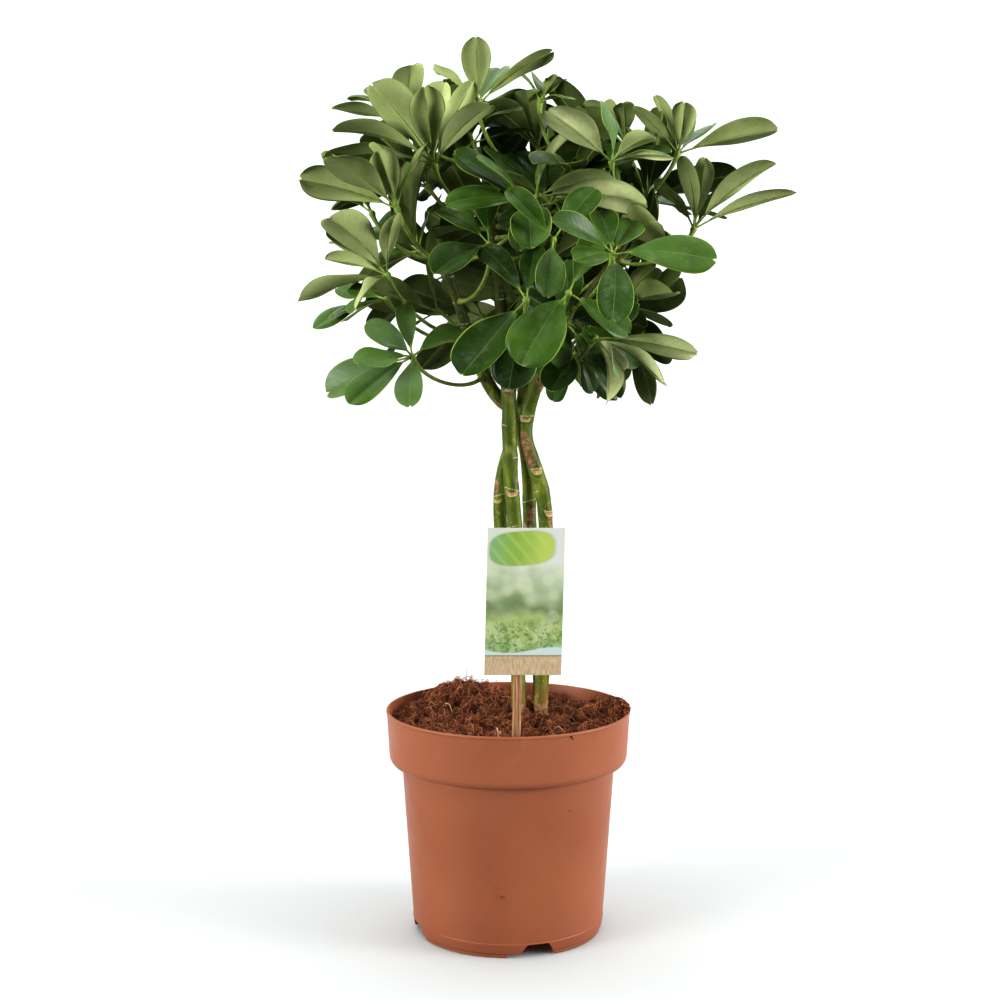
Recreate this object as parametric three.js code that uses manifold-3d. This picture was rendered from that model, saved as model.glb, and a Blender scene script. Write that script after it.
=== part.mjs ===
// Potted umbrella plant: four plaited stems in a nursery pot of peat, a crown of palmate fronds and a
// care card on a stick. Millimetres, +Z up, the front faces -Y, and the origin is on the ground in the
// middle of the pot.

import * as THREE from "three";
import { mergeVertices } from "three/addons/utils/BufferGeometryUtils.js";
import Module from "manifold-3d";

const wasm = await Module();
wasm.setup();

// Driving dimensions

const gap = 0.35; // kept between neighbouring pieces
const leafClearance = 0.5; // kept round a leaflet or a leaf stalk

const pot = {
  segments: 32,
  wall: 1.8,
  rimRadius: 95,
  rimHeight: 174.8,
  rimRound: 0.8,
  collarRadius: 92.6, // lower end of the collar
  collarHeight: 134,
  collarInset: 2.4, // the collar's lower edge is rounded over this width and depth
  collarRound: 3.2,
  shoulderRadius: 83, // body just under the collar
  bodyRadius: 74.6, // body just above the foot
  footRadius: 73,
  footWidth: 7,
  footHeight: 2.6, // the four feet stand this far below the ring between them
  footSpan: 60, // degrees that one foot takes up
  footStart: 29, // degrees from the front to the start of the first foot
  floorUnder: 11,
  floorThick: 2.2,
  floorFillet: 3,
  bossRadius: 12, // centre support that reaches the ground
  notchTop: 16,
  notchBottom: 28,
  notchHeight: 10.5,
  notchAt: 17.5, // degrees from the front
  drainRadius: 5,
  drainCircle: 52,
  drainSides: 10,
  cutSpare: 4, // how far a cut runs past the face that it opens
};

const soil = {
  edgeHeight: 165,
  edgeRadius: 91.3,
  rings: [66, 36], // radii of the rings between the edge and the middle
  humps: [
    { height: 7, at: [16, 8], width: 32 },
    { height: 9, at: [-42, 52], width: 26 },
    { height: -4, at: [52, 52], width: 24 },
  ],
};

// Routes of the four stems, from the cut end in the soil to the growing tip in the crown
const stems = [
  {
    radius: 5.6,
    route: [
      [8, 0, 118], [8, 0, 189], [6.5, 0, 255], [5, -1, 317], [2, -2, 354], [1, -2, 384],
      [0, 0, 422], [-4, 6, 470], [-10, 10, 520], [-16, 12, 570], [-21, 10, 606],
    ],
  },
  {
    radius: 5.2,
    route: [
      [25, 15, 118], [25, 15, 189], [21, 16, 255], [17, 16, 315], [16, 15, 352], [12, 13.5, 383],
      [5, 13.5, 404], [-7, 13, 415], [-18, 10, 432], [-30, 2, 465], [-42, -8, 500], [-52, -16, 536],
    ],
  },
  {
    radius: 5.5,
    route: [
      [26, 2, 118], [26, 2, 189], [31, 2, 250], [29, 2, 317], [26, 1, 345], [19, 1, 367],
      [13.5, 0, 386], [15, 0, 406], [24, -4, 434], [37, -8, 457], [58, -16, 490], [80, -22, 522],
      [98, -18, 552],
    ],
  },
  {
    radius: 5.1,
    route: [
      [9, 13.5, 118], [9, 13.5, 189], [-1, 14, 255], [-6, 13.5, 315], [-6, 14, 343], [-3, 17, 362],
      [4, 26, 384], [11, 27, 411], [15, 27, 435], [26, 32, 470], [40, 40, 520], [50, 42, 572],
    ],
  },
];
const stemShape = {
  sides: 7,
  rows: 18,
  taperFrom: 430, // height where a stem starts to taper into its leader
  tipRadius: 2.3,
  swell: 1.09, // at the leaf scars, on every fourth row
};

const card = { width: 56.5, height: 109, thick: 0.8, corner: 1.5, at: [10.5, -74, 216.5] };
const stick = { width: 6.6, thick: 2.6, bottom: 100, top: 312 };

const leaf = {
  petiolule: 0.17, // share of the length that is bare stalk
  stalkHalf: 0.8,
  stalkThick: 1.7,
  thick: 1.5,
  width: [0.4, 0.47], // share of the length
  bend: [0.45, 1.05], // radians from end to end
  fold: [0.12, 0.42], // radians that each half is raised along the rib
  twist: [-0.16, 0.16],
  seenRows: [[0.42, 0.68], [0.72, 1]], // place and share of the half width, on the fronds seen in front
  otherRows: [[0.64, 1]],
  tipHalf: 0.66,
  notchAt: 0.94,
};
const petiole = {
  radius: 1.6,
  sides: 3,
  steps: 4,
  hubRadius: 4,
  samples: 60, // places tried along a stem, of which the upper half can bear a stalk
  lowest: 432,
  shortest: 34,
  longest: 170,
  deepest: 25, // a hub may lie this far under the start of its stalk
  slope: 0.55,
  pull: 0.3, // length of the bend's handles as a share of the distance
};

// Fronds that the front view shows: the hub, the way its upper side faces, and each leaflet's tip
// measured from the hub, with the leaflet's width as a share of its length where it is unusual
const frontFronds = [
  { hub: [-23, 10, 637], up: [0, 0.4, 0.9], tips: [
    [-36, 40, 30], [-2, -30, 50, 0.42], [57, -12, 38, 0.3], [18, 52, 30], [-50, 20, 4], [46, 40, 6]] },
  { hub: [-54, -45, 588], up: [-0.2, 0.35, 0.93], tips: [
    [-46, -18, 53, 0.46], [-75, 0, 24], [-5, -30, 50, 0.44], [10, -6, 56], [31, -20, 53, 0.4],
    [42, -36, 36], [-82, 24, 12, 0.4]] },
  { hub: [-77, 15, 623], up: [-0.3, 0.35, 0.9], tips: [
    [-57, -6, 10, 0.48], [6, -32, 39, 0.48], [-46, 34, 22], [-30, 48, 32], [34, 46, 18]] },
  { hub: [-80, -70, 555], up: [-0.3, 0.35, 0.9], tips: [
    [-71, -6, 20], [-44, -40, 30, 0.46], [-38, 36, 34], [-11, -32, 38, 0.4], [-24, 8, 50],
    [16, 16, 52]] },
  { hub: [-101, -30, 554], up: [-0.3, 0.3, 0.9], tips: [
    [-36, 12, 44], [-26, -6, 42], [-52, 34, 14], [-20, 44, 30]] },
  { hub: [-87, -75, 508], up: [-0.35, 0.42, 0.84], tips: [
    [-35, -45, 33, 0.46], [-47, -26, 23, 0.3], [-44, 34, 20], [-46, 10, 10, 0.36], [8, -30, 41, 0.32],
    [-60, -22, -21, 0.36], [-20, -36, -26, 0.48]] },
  { hub: [-90, -40, 491], up: [-0.4, -0.5, 0.76], tips: [
    [-52, -20, -22, 0.36], [-38, -32, -21, 0.3], [-38, 28, 6, 0.36], [-30, 48, -18]] },
  { hub: [-69, -85, 450], up: [-0.2, -0.76, 0.62], tips: [
    [-33, -12, 23, 0.48], [-6, 14, 36, 0.36], [-36, -38, -9, 0.48], [-41, -28, -35, 0.42],
    [0, -34, -35, 0.44], [-58, 12, -29, 0.4], [34, 36, 16]] },
  { hub: [12, -100, 490], up: [0, -0.84, 0.55], tips: [
    [-43, -24, -54, 0.52], [-12, -8, -62, 0.5], [-30, 24, 34], [20, 30, 36]] },
  { hub: [42, -95, 495], up: [0.1, -0.82, 0.56], tips: [
    [-34, -38, -50, 0.56], [26, 10, 44], [40, 12, -30]] },
  { hub: [31, -100, 532], up: [0, -0.72, 0.7], tips: [
    [-6, -28, -42, 0.44], [-32, 12, 34], [30, 22, 34]] },
  { hub: [72, -115, 521], up: [0.1, -0.76, 0.65], tips: [
    [-45, -30, 20, 0.34], [-34, -38, -8, 0.5], [-3, -32, -46, 0.48], [68, -16, -7, 0.46], [-8, 34, 32],
    [16, 44, 24]] },
  { hub: [12, -60, 558], up: [0, -0.62, 0.78], tips: [
    [-53, -8, 32], [-36, -36, 27, 0.48], [-57, -20, -2], [3, -44, -29, 0.58], [-5, -20, -34, 0.44]] },
  { hub: [20, -42, 565], up: [0.25, 0.5, 0.82], tips: [
    [56, -20, 8, 0.5], [76, -34, -10], [30, 30, 44]] },
  { hub: [-14, -72, 530], up: [-0.1, -0.7, 0.7], tips: [
    [-38, -34, -24, 0.48], [-36, 34, 24], [-4, 30, 44]] },
  { hub: [74, -60, 589], up: [0, 0.32, 0.94], tips: [
    [-47, -46, 25, 0.44], [-8, 20, 43, 0.4], [38, -30, -3, 0.36], [25, -34, 11, 0.42],
    [35, 40, 20, 0.38]] },
  { hub: [126, -15, 599], up: [0.3, 0.36, 0.88], tips: [
    [-35, -24, 30, 0.26], [-20, -16, 37, 0.27], [1, -28, 33, 0.42], [71, -16, 11, 0.38],
    [30, 36, 21, 0.4], [9, 24, 36, 0.4]] },
  { hub: [138, -20, 543], up: [0.3, 0.36, 0.88], tips: [
    [-12, -22, 50, 0.33], [6, -14, 51, 0.28], [58, -20, 43, 0.34], [81, -6, 26, 0.24], [40, 36, 38],
    [-30, 24, 34]] },
  { hub: [84, -30, 487], up: [0.4, 0.36, 0.84], tips: [
    [20, -34, 23, 0.45], [34, -40, 8, 0.5], [24, 34, 20, 0.42], [37, 22, -19, 0.45]] },
  { hub: [63, -60, 463], up: [0.45, 0.6, 0.66], tips: [
    [71, -16, -14, 0.36], [43, -32, -34, 0.5], [10, -44, -24], [5, -26, -45, 0.44],
    [20, 20, -26, 0.42]] },
  { hub: [50, -52, 452], up: [0, -0.7, 0.7], tips: [
    [-20, -34, -28, 0.56], [-16, 4, -35, 0.54], [-50, 10, 8], [12, 6, -29, 0.5]] },
  { hub: [24, 20, 640], up: [0.1, 0.25, 0.95], tips: [
    [12, -34, 14, 0.3], [22, 8, 18, 0.28], [2, 44, 20], [22, -34, -4], [-38, 20, 16]] },
  { hub: [89, 15, 610], up: [0.1, 0.3, 0.94], tips: [
    [-4, -26, 27, 0.44], [33, 16, 7, 0.36], [-34, -24, 26], [-20, 40, 26], [-17, 10, 30, 0.4]] },
];

// Fronds that stand behind and inside: degrees from the front (90 is the right side), height of the
// hub, its distance from the middle of the crown, and how far its upper side tilts up from outward
const crownMiddle = [24, 4];
const otherFronds = [
  [108, 478, 56, 10], [146, 476, 70, 8], [184, 474, 86, 10], [222, 478, 66, 14, 2], [258, 482, 80, 20, 2],
  [84, 518, 58, 30], [122, 520, 74, 30], [158, 506, 96, 26], [194, 522, 100, 30], [230, 510, 98, 28, 2],
  [266, 528, 92, 34],
  [104, 566, 84, 50], [140, 562, 88, 46], [176, 572, 88, 50], [212, 570, 90, 48], [250, 578, 92, 52],
  [120, 592, 56, 66], [180, 608, 50, 70], [235, 612, 62, 66],
  [24, 562, 16, 76], [38, 580, 40, 62], [196, 552, 38, 58], [240, 545, 46, 46], [70, 536, 54, 40],
  [165, 540, 30, 40], [30, 474, 38, 0], [90, 480, 38, -6], [196, 496, 44, 4], [172, 520, 34, 24],
];
const ring = { leaflets: 8, length: 70, spread: 10, lift: 14, turn: 8, ringLift: 22 };

// Ways to bend a leaflet clear, tried in this order: degrees of lift, degrees of turn, share of length
const nudges = [
  [0, 0, 1], [5, 0, 1], [-5, 0, 1], [0, 6, 1], [0, -6, 1], [9, 6, 0.96], [-9, 6, 0.96], [9, -6, 0.96],
  [-9, -6, 0.96], [15, 0, 0.92], [-15, 0, 0.92], [0, 14, 0.9], [0, -14, 0.9], [18, 10, 0.84],
  [-18, 10, 0.84], [18, -10, 0.84], [-18, -10, 0.84], [26, 0, 0.76], [-26, 0, 0.76], [34, 12, 0.72],
  [34, -12, 0.72], [-34, 12, 0.72], [-34, -12, 0.72], [44, 0, 0.66], [-44, 0, 0.66], [0, 22, 0.7],
  [0, -22, 0.7],
];

const radians = Math.PI / 180;
const vec = (point) => new THREE.Vector3(...point);

let seed = 20246;
function random(low, high) {
  seed = (seed * 16807) % 2147483647;
  return low + ((high - low) * seed) / 2147483647;
}

// Solids

function solidFrom(positions, triangles) {
  return new wasm.Manifold(
    new wasm.Mesh({
      numProp: 3,
      vertProperties: new Float32Array(positions),
      triVerts: new Uint32Array(triangles),
    }),
  );
}

function solidOf(geometry) {
  const bare = geometry.clone();
  bare.deleteAttribute("normal");
  bare.deleteAttribute("uv");
  const merged = mergeVertices(bare, 1e-4);
  const corners = merged.index.array;
  const triangles = [];
  for (let i = 0; i < corners.length; i += 3) {
    const [a, b, c] = corners.slice(i, i + 3);
    if (a !== b && b !== c && c !== a) triangles.push(a, b, c);
  }
  return solidFrom(merged.attributes.position.array, triangles);
}

function union(solids) {
  return solids.reduce((joined, next) => joined.add(next));
}

// A closed skin over rows of equally many points; every second point of a row is an edge, and each
// quad's diagonal runs from an edge to the point between edges of the next row
function skin(rows) {
  const points = [];
  const triangles = [];
  const count = rows[0].length;
  rows.forEach((row) => row.forEach((point) => points.push(point.x, point.y, point.z)));
  for (let i = 0; i + 1 < rows.length; i++) {
    for (let j = 0; j < count; j++) {
      const here = [i * count + j, i * count + ((j + 1) % count)];
      const next = here.map((index) => index + count);
      if (j % 2 === 0) triangles.push(here[0], here[1], next[1], here[0], next[1], next[0]);
      else triangles.push(here[0], here[1], next[0], here[1], next[1], next[0]);
    }
  }
  const last = (rows.length - 1) * count;
  for (let j = 1; j + 1 < count; j++) {
    triangles.push(0, j + 1, j);
    triangles.push(last, last + j, last + j + 1);
  }
  const geometry = new THREE.BufferGeometry();
  geometry.setAttribute("position", new THREE.Float32BufferAttribute(points, 3));
  geometry.setIndex(triangles);
  return solidOf(geometry);
}

function tube(points, radii, sides) {
  let across = new THREE.Vector3(0, -1, 0);
  const rows = points.map((point, i) => {
    const before = points[Math.max(i - 1, 0)];
    const after = points[Math.min(i + 1, points.length - 1)];
    const along = after.clone().sub(before).normalize();
    across = across.clone().addScaledVector(along, -across.dot(along)).normalize();
    const up = along.clone().cross(across);
    return Array.from({ length: sides }, (_, j) => {
      const angle = (j / sides) * 2 * Math.PI;
      return point
        .clone()
        .addScaledVector(across, radii[i] * Math.cos(angle))
        .addScaledVector(up, radii[i] * Math.sin(angle));
    });
  });
  return skin(rows);
}

// A profile of [radius, height] pairs turned about the upright axis
function turned(profile) {
  const points = profile.map(([radius, height]) => new THREE.Vector2(radius, height));
  return new THREE.LatheGeometry(points, pot.segments).rotateX(Math.PI / 2);
}

// Pot

function wallRadius(height) {
  const share = (height - pot.floorUnder) / (pot.collarHeight - pot.floorUnder);
  return THREE.MathUtils.lerp(pot.bodyRadius, pot.shoulderRadius, share);
}

// The inner wall from the floor up to the rim, drawn in by a clearance
function innerWall(clearance) {
  const floorTop = pot.floorUnder + pot.floorThick;
  const inset = pot.wall + clearance;
  return [
    [wallRadius(floorTop) - inset - pot.floorFillet, floorTop + clearance],
    [wallRadius(floorTop + pot.floorFillet) - inset, floorTop + pot.floorFillet],
    [pot.shoulderRadius - inset, pot.collarHeight + clearance],
    [pot.collarRadius - inset - pot.wall, pot.collarHeight + pot.collarRound + clearance],
    [pot.collarRadius - inset, pot.collarHeight + 2 * pot.collarRound],
  ];
}

function potSolid() {
  const { footRadius, footWidth, floorUnder, collarHeight, collarRadius } = pot;
  const { rimRadius, rimHeight, rimRound } = pot;
  const outside = [
    [0, 0],
    [pot.bossRadius, 0],
    [pot.bossRadius + 1, floorUnder],
    [footRadius - footWidth - 1, floorUnder],
    [footRadius - footWidth, 0],
    [footRadius - rimRound, 0],
    [footRadius, rimRound],
    [pot.bodyRadius, floorUnder],
    [pot.shoulderRadius, collarHeight],
    [collarRadius - pot.collarInset, collarHeight],
    [collarRadius, collarHeight + pot.collarRound],
    [rimRadius, rimHeight - rimRound],
    [rimRadius - rimRound, rimHeight],
    [rimRadius - pot.wall, rimHeight],
  ];
  const inside = innerWall(0).reverse();
  const body = solidOf(turned([...outside, ...inside, [0, pot.floorUnder + pot.floorThick]]));
  return drainCuts().reduce((cut, next) => cut.subtract(next), body);
}

// What is cut from the foot ring between the feet, and the drain holes in the floor
function drainCuts() {
  const cuts = [];
  const between = 90 - pot.footSpan;
  const spare = pot.cutSpare;
  const inner = pot.footRadius - pot.footWidth - 3 * spare;
  const outer = pot.footRadius + 3 * spare;
  for (let i = 0; i < 4; i++) {
    const start = pot.footStart - between + 90 * i;
    const wedge = new THREE.Shape();
    wedge.moveTo(inner, 0);
    wedge.absarc(0, 0, outer, 0, between * radians, false);
    wedge.lineTo(inner * Math.cos(between * radians), inner * Math.sin(between * radians));
    const relief = new THREE.ExtrudeGeometry(wedge, {
      depth: pot.footHeight + spare,
      bevelEnabled: false,
      curveSegments: 4,
    });
    relief.translate(0, 0, -spare).rotateZ((start - 90) * radians);
    cuts.push(solidOf(relief));

    const drain = new THREE.Shape();
    drain.moveTo(-pot.notchBottom / 2, -spare);
    drain.lineTo(pot.notchBottom / 2, -spare);
    drain.lineTo(pot.notchBottom / 2, pot.footHeight);
    drain.lineTo(pot.notchTop / 2, pot.notchHeight);
    drain.lineTo(-pot.notchTop / 2, pot.notchHeight);
    drain.lineTo(-pot.notchBottom / 2, pot.footHeight);
    const notch = new THREE.ExtrudeGeometry(drain, { depth: outer - inner, bevelEnabled: false });
    notch.rotateX(Math.PI / 2).translate(0, -inner, 0);
    notch.rotateZ((pot.notchAt + 90 * i) * radians);
    cuts.push(solidOf(notch));

    const depth = 2 * (pot.floorThick + spare);
    const hole = new THREE.CylinderGeometry(pot.drainRadius, pot.drainRadius, depth, pot.drainSides);
    hole.rotateX(Math.PI / 2).translate(0, -pot.drainCircle, pot.floorUnder);
    hole.rotateZ((pot.notchAt + 90 * i) * radians);
    cuts.push(solidOf(hole));
  }
  return cuts;
}

// Soil

// Humps over the edge's level, and two small ripples
function soilHeight(x, y) {
  const humps = soil.humps.map(({ height, at, width }) => {
    return height * Math.exp(-((x - at[0]) ** 2 + (y - at[1]) ** 2) / (2 * width * width));
  });
  const ripples = 1.5 * Math.sin(0.11 * x + 0.9) * Math.cos(0.13 * y) + 1.1 * Math.sin(0.23 * x - 0.19 * y);
  return humps.reduce((sum, height) => sum + height, soil.edgeHeight + ripples);
}

function soilSolid(holes) {
  const lower = innerWall(gap);
  const profile = [[0, lower[0][1]], ...lower, [soil.edgeRadius, soil.edgeHeight]];
  soil.rings.forEach((radius) => profile.push([radius, soil.edgeHeight]));
  profile.push([0, soil.edgeHeight]);
  const geometry = turned(profile);
  const position = geometry.attributes.position;
  for (let i = 0; i < position.count; i++) {
    if (position.getZ(i) < soil.edgeHeight - 1) continue;
    position.setZ(i, soilHeight(position.getX(i), position.getY(i)));
  }
  return holes.reduce((cut, hole) => cut.subtract(hole), solidOf(geometry));
}

// Stems

function stemCurve(stem) {
  return new THREE.CatmullRomCurve3(stem.route.map(vec), false, "catmullrom", 0.5);
}

function stemRadius(stem, height) {
  const top = stem.route.at(-1)[2];
  const share = THREE.MathUtils.clamp((height - stemShape.taperFrom) / (top - stemShape.taperFrom), 0, 1);
  return THREE.MathUtils.lerp(stem.radius, stemShape.tipRadius, share);
}

function stemSolid(stem, grow) {
  const points = stemCurve(stem).getPoints(stemShape.rows);
  points[0].z -= grow;
  const radii = points.map((point, i) => {
    const swell = i % 4 === 2 ? stemShape.swell : 1;
    return stemRadius(stem, point.z) * swell + grow;
  });
  return tube(points, radii, stemShape.sides);
}

// Care card and its stick

function cardSolid() {
  const { width, height, thick, corner } = card;
  const outline = new THREE.Shape();
  outline.moveTo(corner, 0);
  outline.lineTo(width - corner, 0);
  outline.quadraticCurveTo(width, 0, width, corner);
  outline.lineTo(width, height - corner);
  outline.quadraticCurveTo(width, height, width - corner, height);
  outline.lineTo(corner, height);
  outline.quadraticCurveTo(0, height, 0, height - corner);
  outline.lineTo(0, corner);
  outline.quadraticCurveTo(0, 0, corner, 0);
  const sheet = new THREE.ExtrudeGeometry(outline, { depth: thick, bevelEnabled: false, curveSegments: 2 });
  sheet.rotateX(Math.PI / 2).translate(-width / 2, 0, 0);
  return solidOf(sheet.translate(...card.at));
}

function stickSolid(grow) {
  const { width, thick, bottom, top } = stick;
  const bar = new THREE.BoxGeometry(width + 2 * grow, thick + 2 * grow, top - bottom + grow);
  const behindCard = card.at[1] + gap + thick / 2;
  bar.translate(card.at[0] - 4.4, behindCard, (bottom + top - grow) / 2);
  return solidOf(bar);
}

// Fronds

// One leaflet from the hub to its notched tip, as four-point cross-sections along an arched rib
function leafletSolid(hub, tip, leaflet, grow, bladeOnly) {
  const length = tip.length();
  const along = tip.clone().normalize();
  const up = leaflet.up.clone().addScaledVector(along, -leaflet.up.dot(along)).normalize();
  up.applyAxisAngle(along, leaflet.twist);
  const side = along.clone().cross(up);
  const arc = length / (2 * Math.sin(leaflet.bend / 2));

  function row(at, half, thick, fold) {
    const angle = leaflet.bend * (0.5 - at);
    const normal = up.clone().multiplyScalar(Math.cos(angle)).addScaledVector(along, -Math.sin(angle));
    const rib = hub
      .clone()
      .addScaledVector(along, arc * (Math.sin(leaflet.bend / 2) - Math.sin(angle)))
      .addScaledVector(up, arc * (Math.cos(angle) - Math.cos(leaflet.bend / 2)));
    const edge = (way) =>
      rib
        .clone()
        .addScaledVector(side, way * half * Math.cos(fold))
        .addScaledVector(normal, half * Math.sin(fold));
    const face = (way) => rib.clone().addScaledVector(normal, (way * thick) / 2);
    return [edge(-1), face(1), edge(1), face(-1)];
  }

  const widest = (leaflet.width * length) / 2;
  const rows = [];
  if (!bladeOnly) rows.push(row(0, leaf.stalkHalf + grow, leaf.stalkThick + grow, 0));
  if (bladeOnly || leaflet.seen) {
    rows.push(row(leaf.petiolule, leaf.stalkHalf + grow, leaf.stalkThick + 2 * grow, 0));
  }
  (leaflet.seen ? leaf.seenRows : leaf.otherRows).forEach(([at, share]) => {
    rows.push(row(at, share * widest + grow, leaf.thick + 2 * grow, leaflet.fold));
  });
  const tips = row(1 + grow / length, leaf.tipHalf * widest + grow, 0, leaflet.fold);
  const notch = row(leaf.notchAt + grow / length, 0, 0, 0)[1];
  rows.push([tips[0], notch, tips[2], notch.clone()]);
  return skin(rows);
}

// The rest of a leaflet's form, drawn once for each in the order of the lists
function drawnLeaflet(up, seen, width) {
  return {
    up,
    seen,
    width: width ?? random(...leaf.width),
    bend: random(...leaf.bend),
    fold: random(...leaf.fold),
    twist: random(...leaf.twist),
  };
}

function frontFrond({ hub, up, tips }) {
  const upper = vec(up).normalize();
  const leaflets = tips.map(([x, y, z, width]) => ({
    tip: new THREE.Vector3(x, y, z),
    ...drawnLeaflet(upper, true, width),
  }));
  return { hub: vec(hub), upper, leaflets };
}

function otherFrond([degrees, height, reach, tilt, every = 1]) {
  const outward = vec([Math.sin(degrees * radians), -Math.cos(degrees * radians), 0]);
  const hub = vec([...crownMiddle, height]).addScaledVector(outward, reach);
  const upper = outward.clone().multiplyScalar(Math.cos(tilt * radians));
  upper.z = Math.sin(tilt * radians);
  const first = vec([-outward.y, outward.x, 0]);
  const second = upper.clone().cross(first);
  const start = random(0, 360);
  const leaflets = Array.from({ length: ring.leaflets }, (_, i) => {
    const turn = (start + (i * 360) / ring.leaflets + random(-ring.turn, ring.turn)) * radians;
    const lift = (ring.ringLift + random(-ring.lift, ring.lift)) * radians;
    const length = ring.length + random(-ring.spread, ring.spread);
    const tip = first
      .clone()
      .multiplyScalar(Math.cos(turn) * Math.cos(lift))
      .addScaledVector(second, Math.sin(turn) * Math.cos(lift))
      .addScaledVector(upper, Math.sin(lift))
      .multiplyScalar(length);
    return { tip, ...drawnLeaflet(upper, false) };
  });
  return { hub, upper, leaflets: leaflets.filter((_, i) => i % every === 0) };
}

// Leaf stalk routes from the leaders to a hub, the most natural first
function stalkRoutes(frond) {
  const routes = [];
  stems.forEach((stem, s) => {
    const curve = stemCurve(stem);
    for (let i = petiole.samples / 2; i < petiole.samples; i++) {
      const from = curve.getPoint(i / petiole.samples);
      const way = frond.hub.clone().sub(from);
      const distance = way.length();
      const flat = Math.hypot(way.x, way.y);
      if (from.z < petiole.lowest || way.z < -petiole.deepest) continue;
      if (distance < petiole.shortest || distance > petiole.longest) continue;
      const tangent = curve.getTangent(i / petiole.samples);
      const radial = way.clone().addScaledVector(tangent, -way.dot(tangent)).normalize();
      const start = from.clone().addScaledVector(radial, stemRadius(stem, from.z) + gap);
      const cost = Math.abs(way.z - petiole.slope * flat) + distance / 2;
      const bend = new THREE.CubicBezierCurve3(
        start,
        start.clone().addScaledVector(radial, petiole.pull * distance),
        frond.hub.clone().addScaledVector(frond.upper, -petiole.pull * distance),
        frond.hub,
      );
      routes.push({ cost, bend });
    }
  });
  return routes.sort((a, b) => a.cost - b.cost);
}

function stalkSolid(route, grow) {
  const points = route.bend.getPoints(petiole.steps);
  return tube(points, points.map(() => petiole.radius + grow), petiole.sides);
}

function hubSolid(hub, grow) {
  const bud = new THREE.OctahedronGeometry(petiole.hubRadius + grow, 0);
  return solidOf(bud.translate(hub.x, hub.y, hub.z));
}

function isClear(candidate, others) {
  const box = candidate.boundingBox();
  return others.every((other) => {
    const apart = [0, 1, 2].some((i) => box.min[i] > other.box.max[i] || other.box.min[i] > box.max[i]);
    if (apart) return true;
    const common = candidate.intersect(other.solid);
    const empty = common.isEmpty();
    common.delete();
    return empty;
  });
}

const kept = (solid, owner, bladeOnly) => ({ solid, owner, bladeOnly, box: solid.boundingBox() });

function nudged(leaflet, [lift, turn, share]) {
  const along = leaflet.tip.clone().normalize();
  const up = leaflet.up.clone().addScaledVector(along, -leaflet.up.dot(along)).normalize();
  const side = along.clone().cross(up);
  return leaflet.tip
    .clone()
    .applyAxisAngle(side, lift * radians)
    .applyAxisAngle(up, turn * radians)
    .multiplyScalar(share);
}

// Every frond's solid: stalks and hubs are placed first, then the leaflets, each bent clear of what
// already stands there, and left out where it can't be
function frondSolids(fixed) {
  const clearance = leafClearance;
  const fronds = [...frontFronds.map(frontFrond), ...otherFronds.map(otherFrond)];
  const standing = fixed.map((solid) => kept(solid, -1));
  fronds.forEach((frond, owner) => {
    const route = stalkRoutes(frond).find((way) => isClear(stalkSolid(way, clearance), standing));
    if (!route) throw new Error("no clear stalk for frond " + (owner + 1));
    frond.pieces = [stalkSolid(route, 0), hubSolid(frond.hub, 0)];
    frond.pieces.forEach((solid) => standing.push(kept(solid, owner)));
  });
  fronds.forEach((frond, owner) => {
    const foreign = standing.filter((piece) => piece.owner !== owner);
    const own = standing.filter((piece) => piece.owner === owner).slice(0, 1);
    frond.leaflets.forEach((leaflet) => {
      for (const nudge of nudges) {
        const tip = nudged(leaflet, nudge);
        const whole = leafletSolid(frond.hub, tip, leaflet, clearance, false);
        const blade = leafletSolid(frond.hub, tip, leaflet, clearance, true);
        if (!isClear(whole, foreign) || !isClear(blade, own)) continue;
        const solid = leafletSolid(frond.hub, tip, leaflet, 0, false);
        frond.pieces.push(solid);
        standing.push(kept(solid, owner));
        own.push(kept(leafletSolid(frond.hub, tip, leaflet, 0, true), owner));
        break;
      }
    });
  });
  return fronds.map((frond) => union(frond.pieces));
}

// Materials

const material = (color, roughness) => new THREE.MeshStandardMaterial({ color, roughness, metalness: 0 });
const paint = {
  pot: () => material(0xa55a3e, 0.45),
  soil: () => material(0x5a3222, 0.95),
  stem: () => material(0x5f7a33, 0.6),
  frond: () => material(0x47682c, 0.4),
  card: () => material(0xd9dfc8, 0.5),
  stick: () => material(0xa7794a, 0.7),
};

// The plant

function meshOf(name, solid, finish) {
  const { numProp, vertProperties, triVerts } = solid.getMesh();
  const positions = [];
  for (let i = 0; i < vertProperties.length; i += numProp) {
    positions.push(vertProperties[i], vertProperties[i + 1], vertProperties[i + 2]);
  }
  const geometry = new THREE.BufferGeometry();
  geometry.setAttribute("position", new THREE.Float32BufferAttribute(positions, 3));
  geometry.setIndex(Array.from(triVerts));
  geometry.computeVertexNormals();
  const mesh = new THREE.Mesh(geometry, finish);
  mesh.name = name;
  return mesh;
}

const plant = new THREE.Group();

const stemSolids = stems.map((stem) => stemSolid(stem, 0));
const holes = [...stems.map((stem) => stemSolid(stem, gap)), stickSolid(gap)];
const potted = potSolid();
const bedded = soilSolid(holes);
const sheet = cardSolid();
const holder = stickSolid(0);

plant.add(meshOf("pot", potted, paint.pot()));
plant.add(meshOf("soil", bedded, paint.soil()));
stemSolids.forEach((solid, i) => plant.add(meshOf(`stem_${i + 1}`, solid, paint.stem())));
plant.add(meshOf("label_card", sheet, paint.card()));
plant.add(meshOf("label_stick", holder, paint.stick()));
frondSolids([...stemSolids, sheet, holder]).forEach((solid, i) => {
  plant.add(meshOf(`frond_${String(i + 1).padStart(2, "0")}`, solid, paint.frond()));
});

export default plant;
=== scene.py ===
import math

import bmesh
import bpy
import numpy as np
from mathutils import Matrix, Vector, noise
from mathutils.kdtree import KDTree


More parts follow.
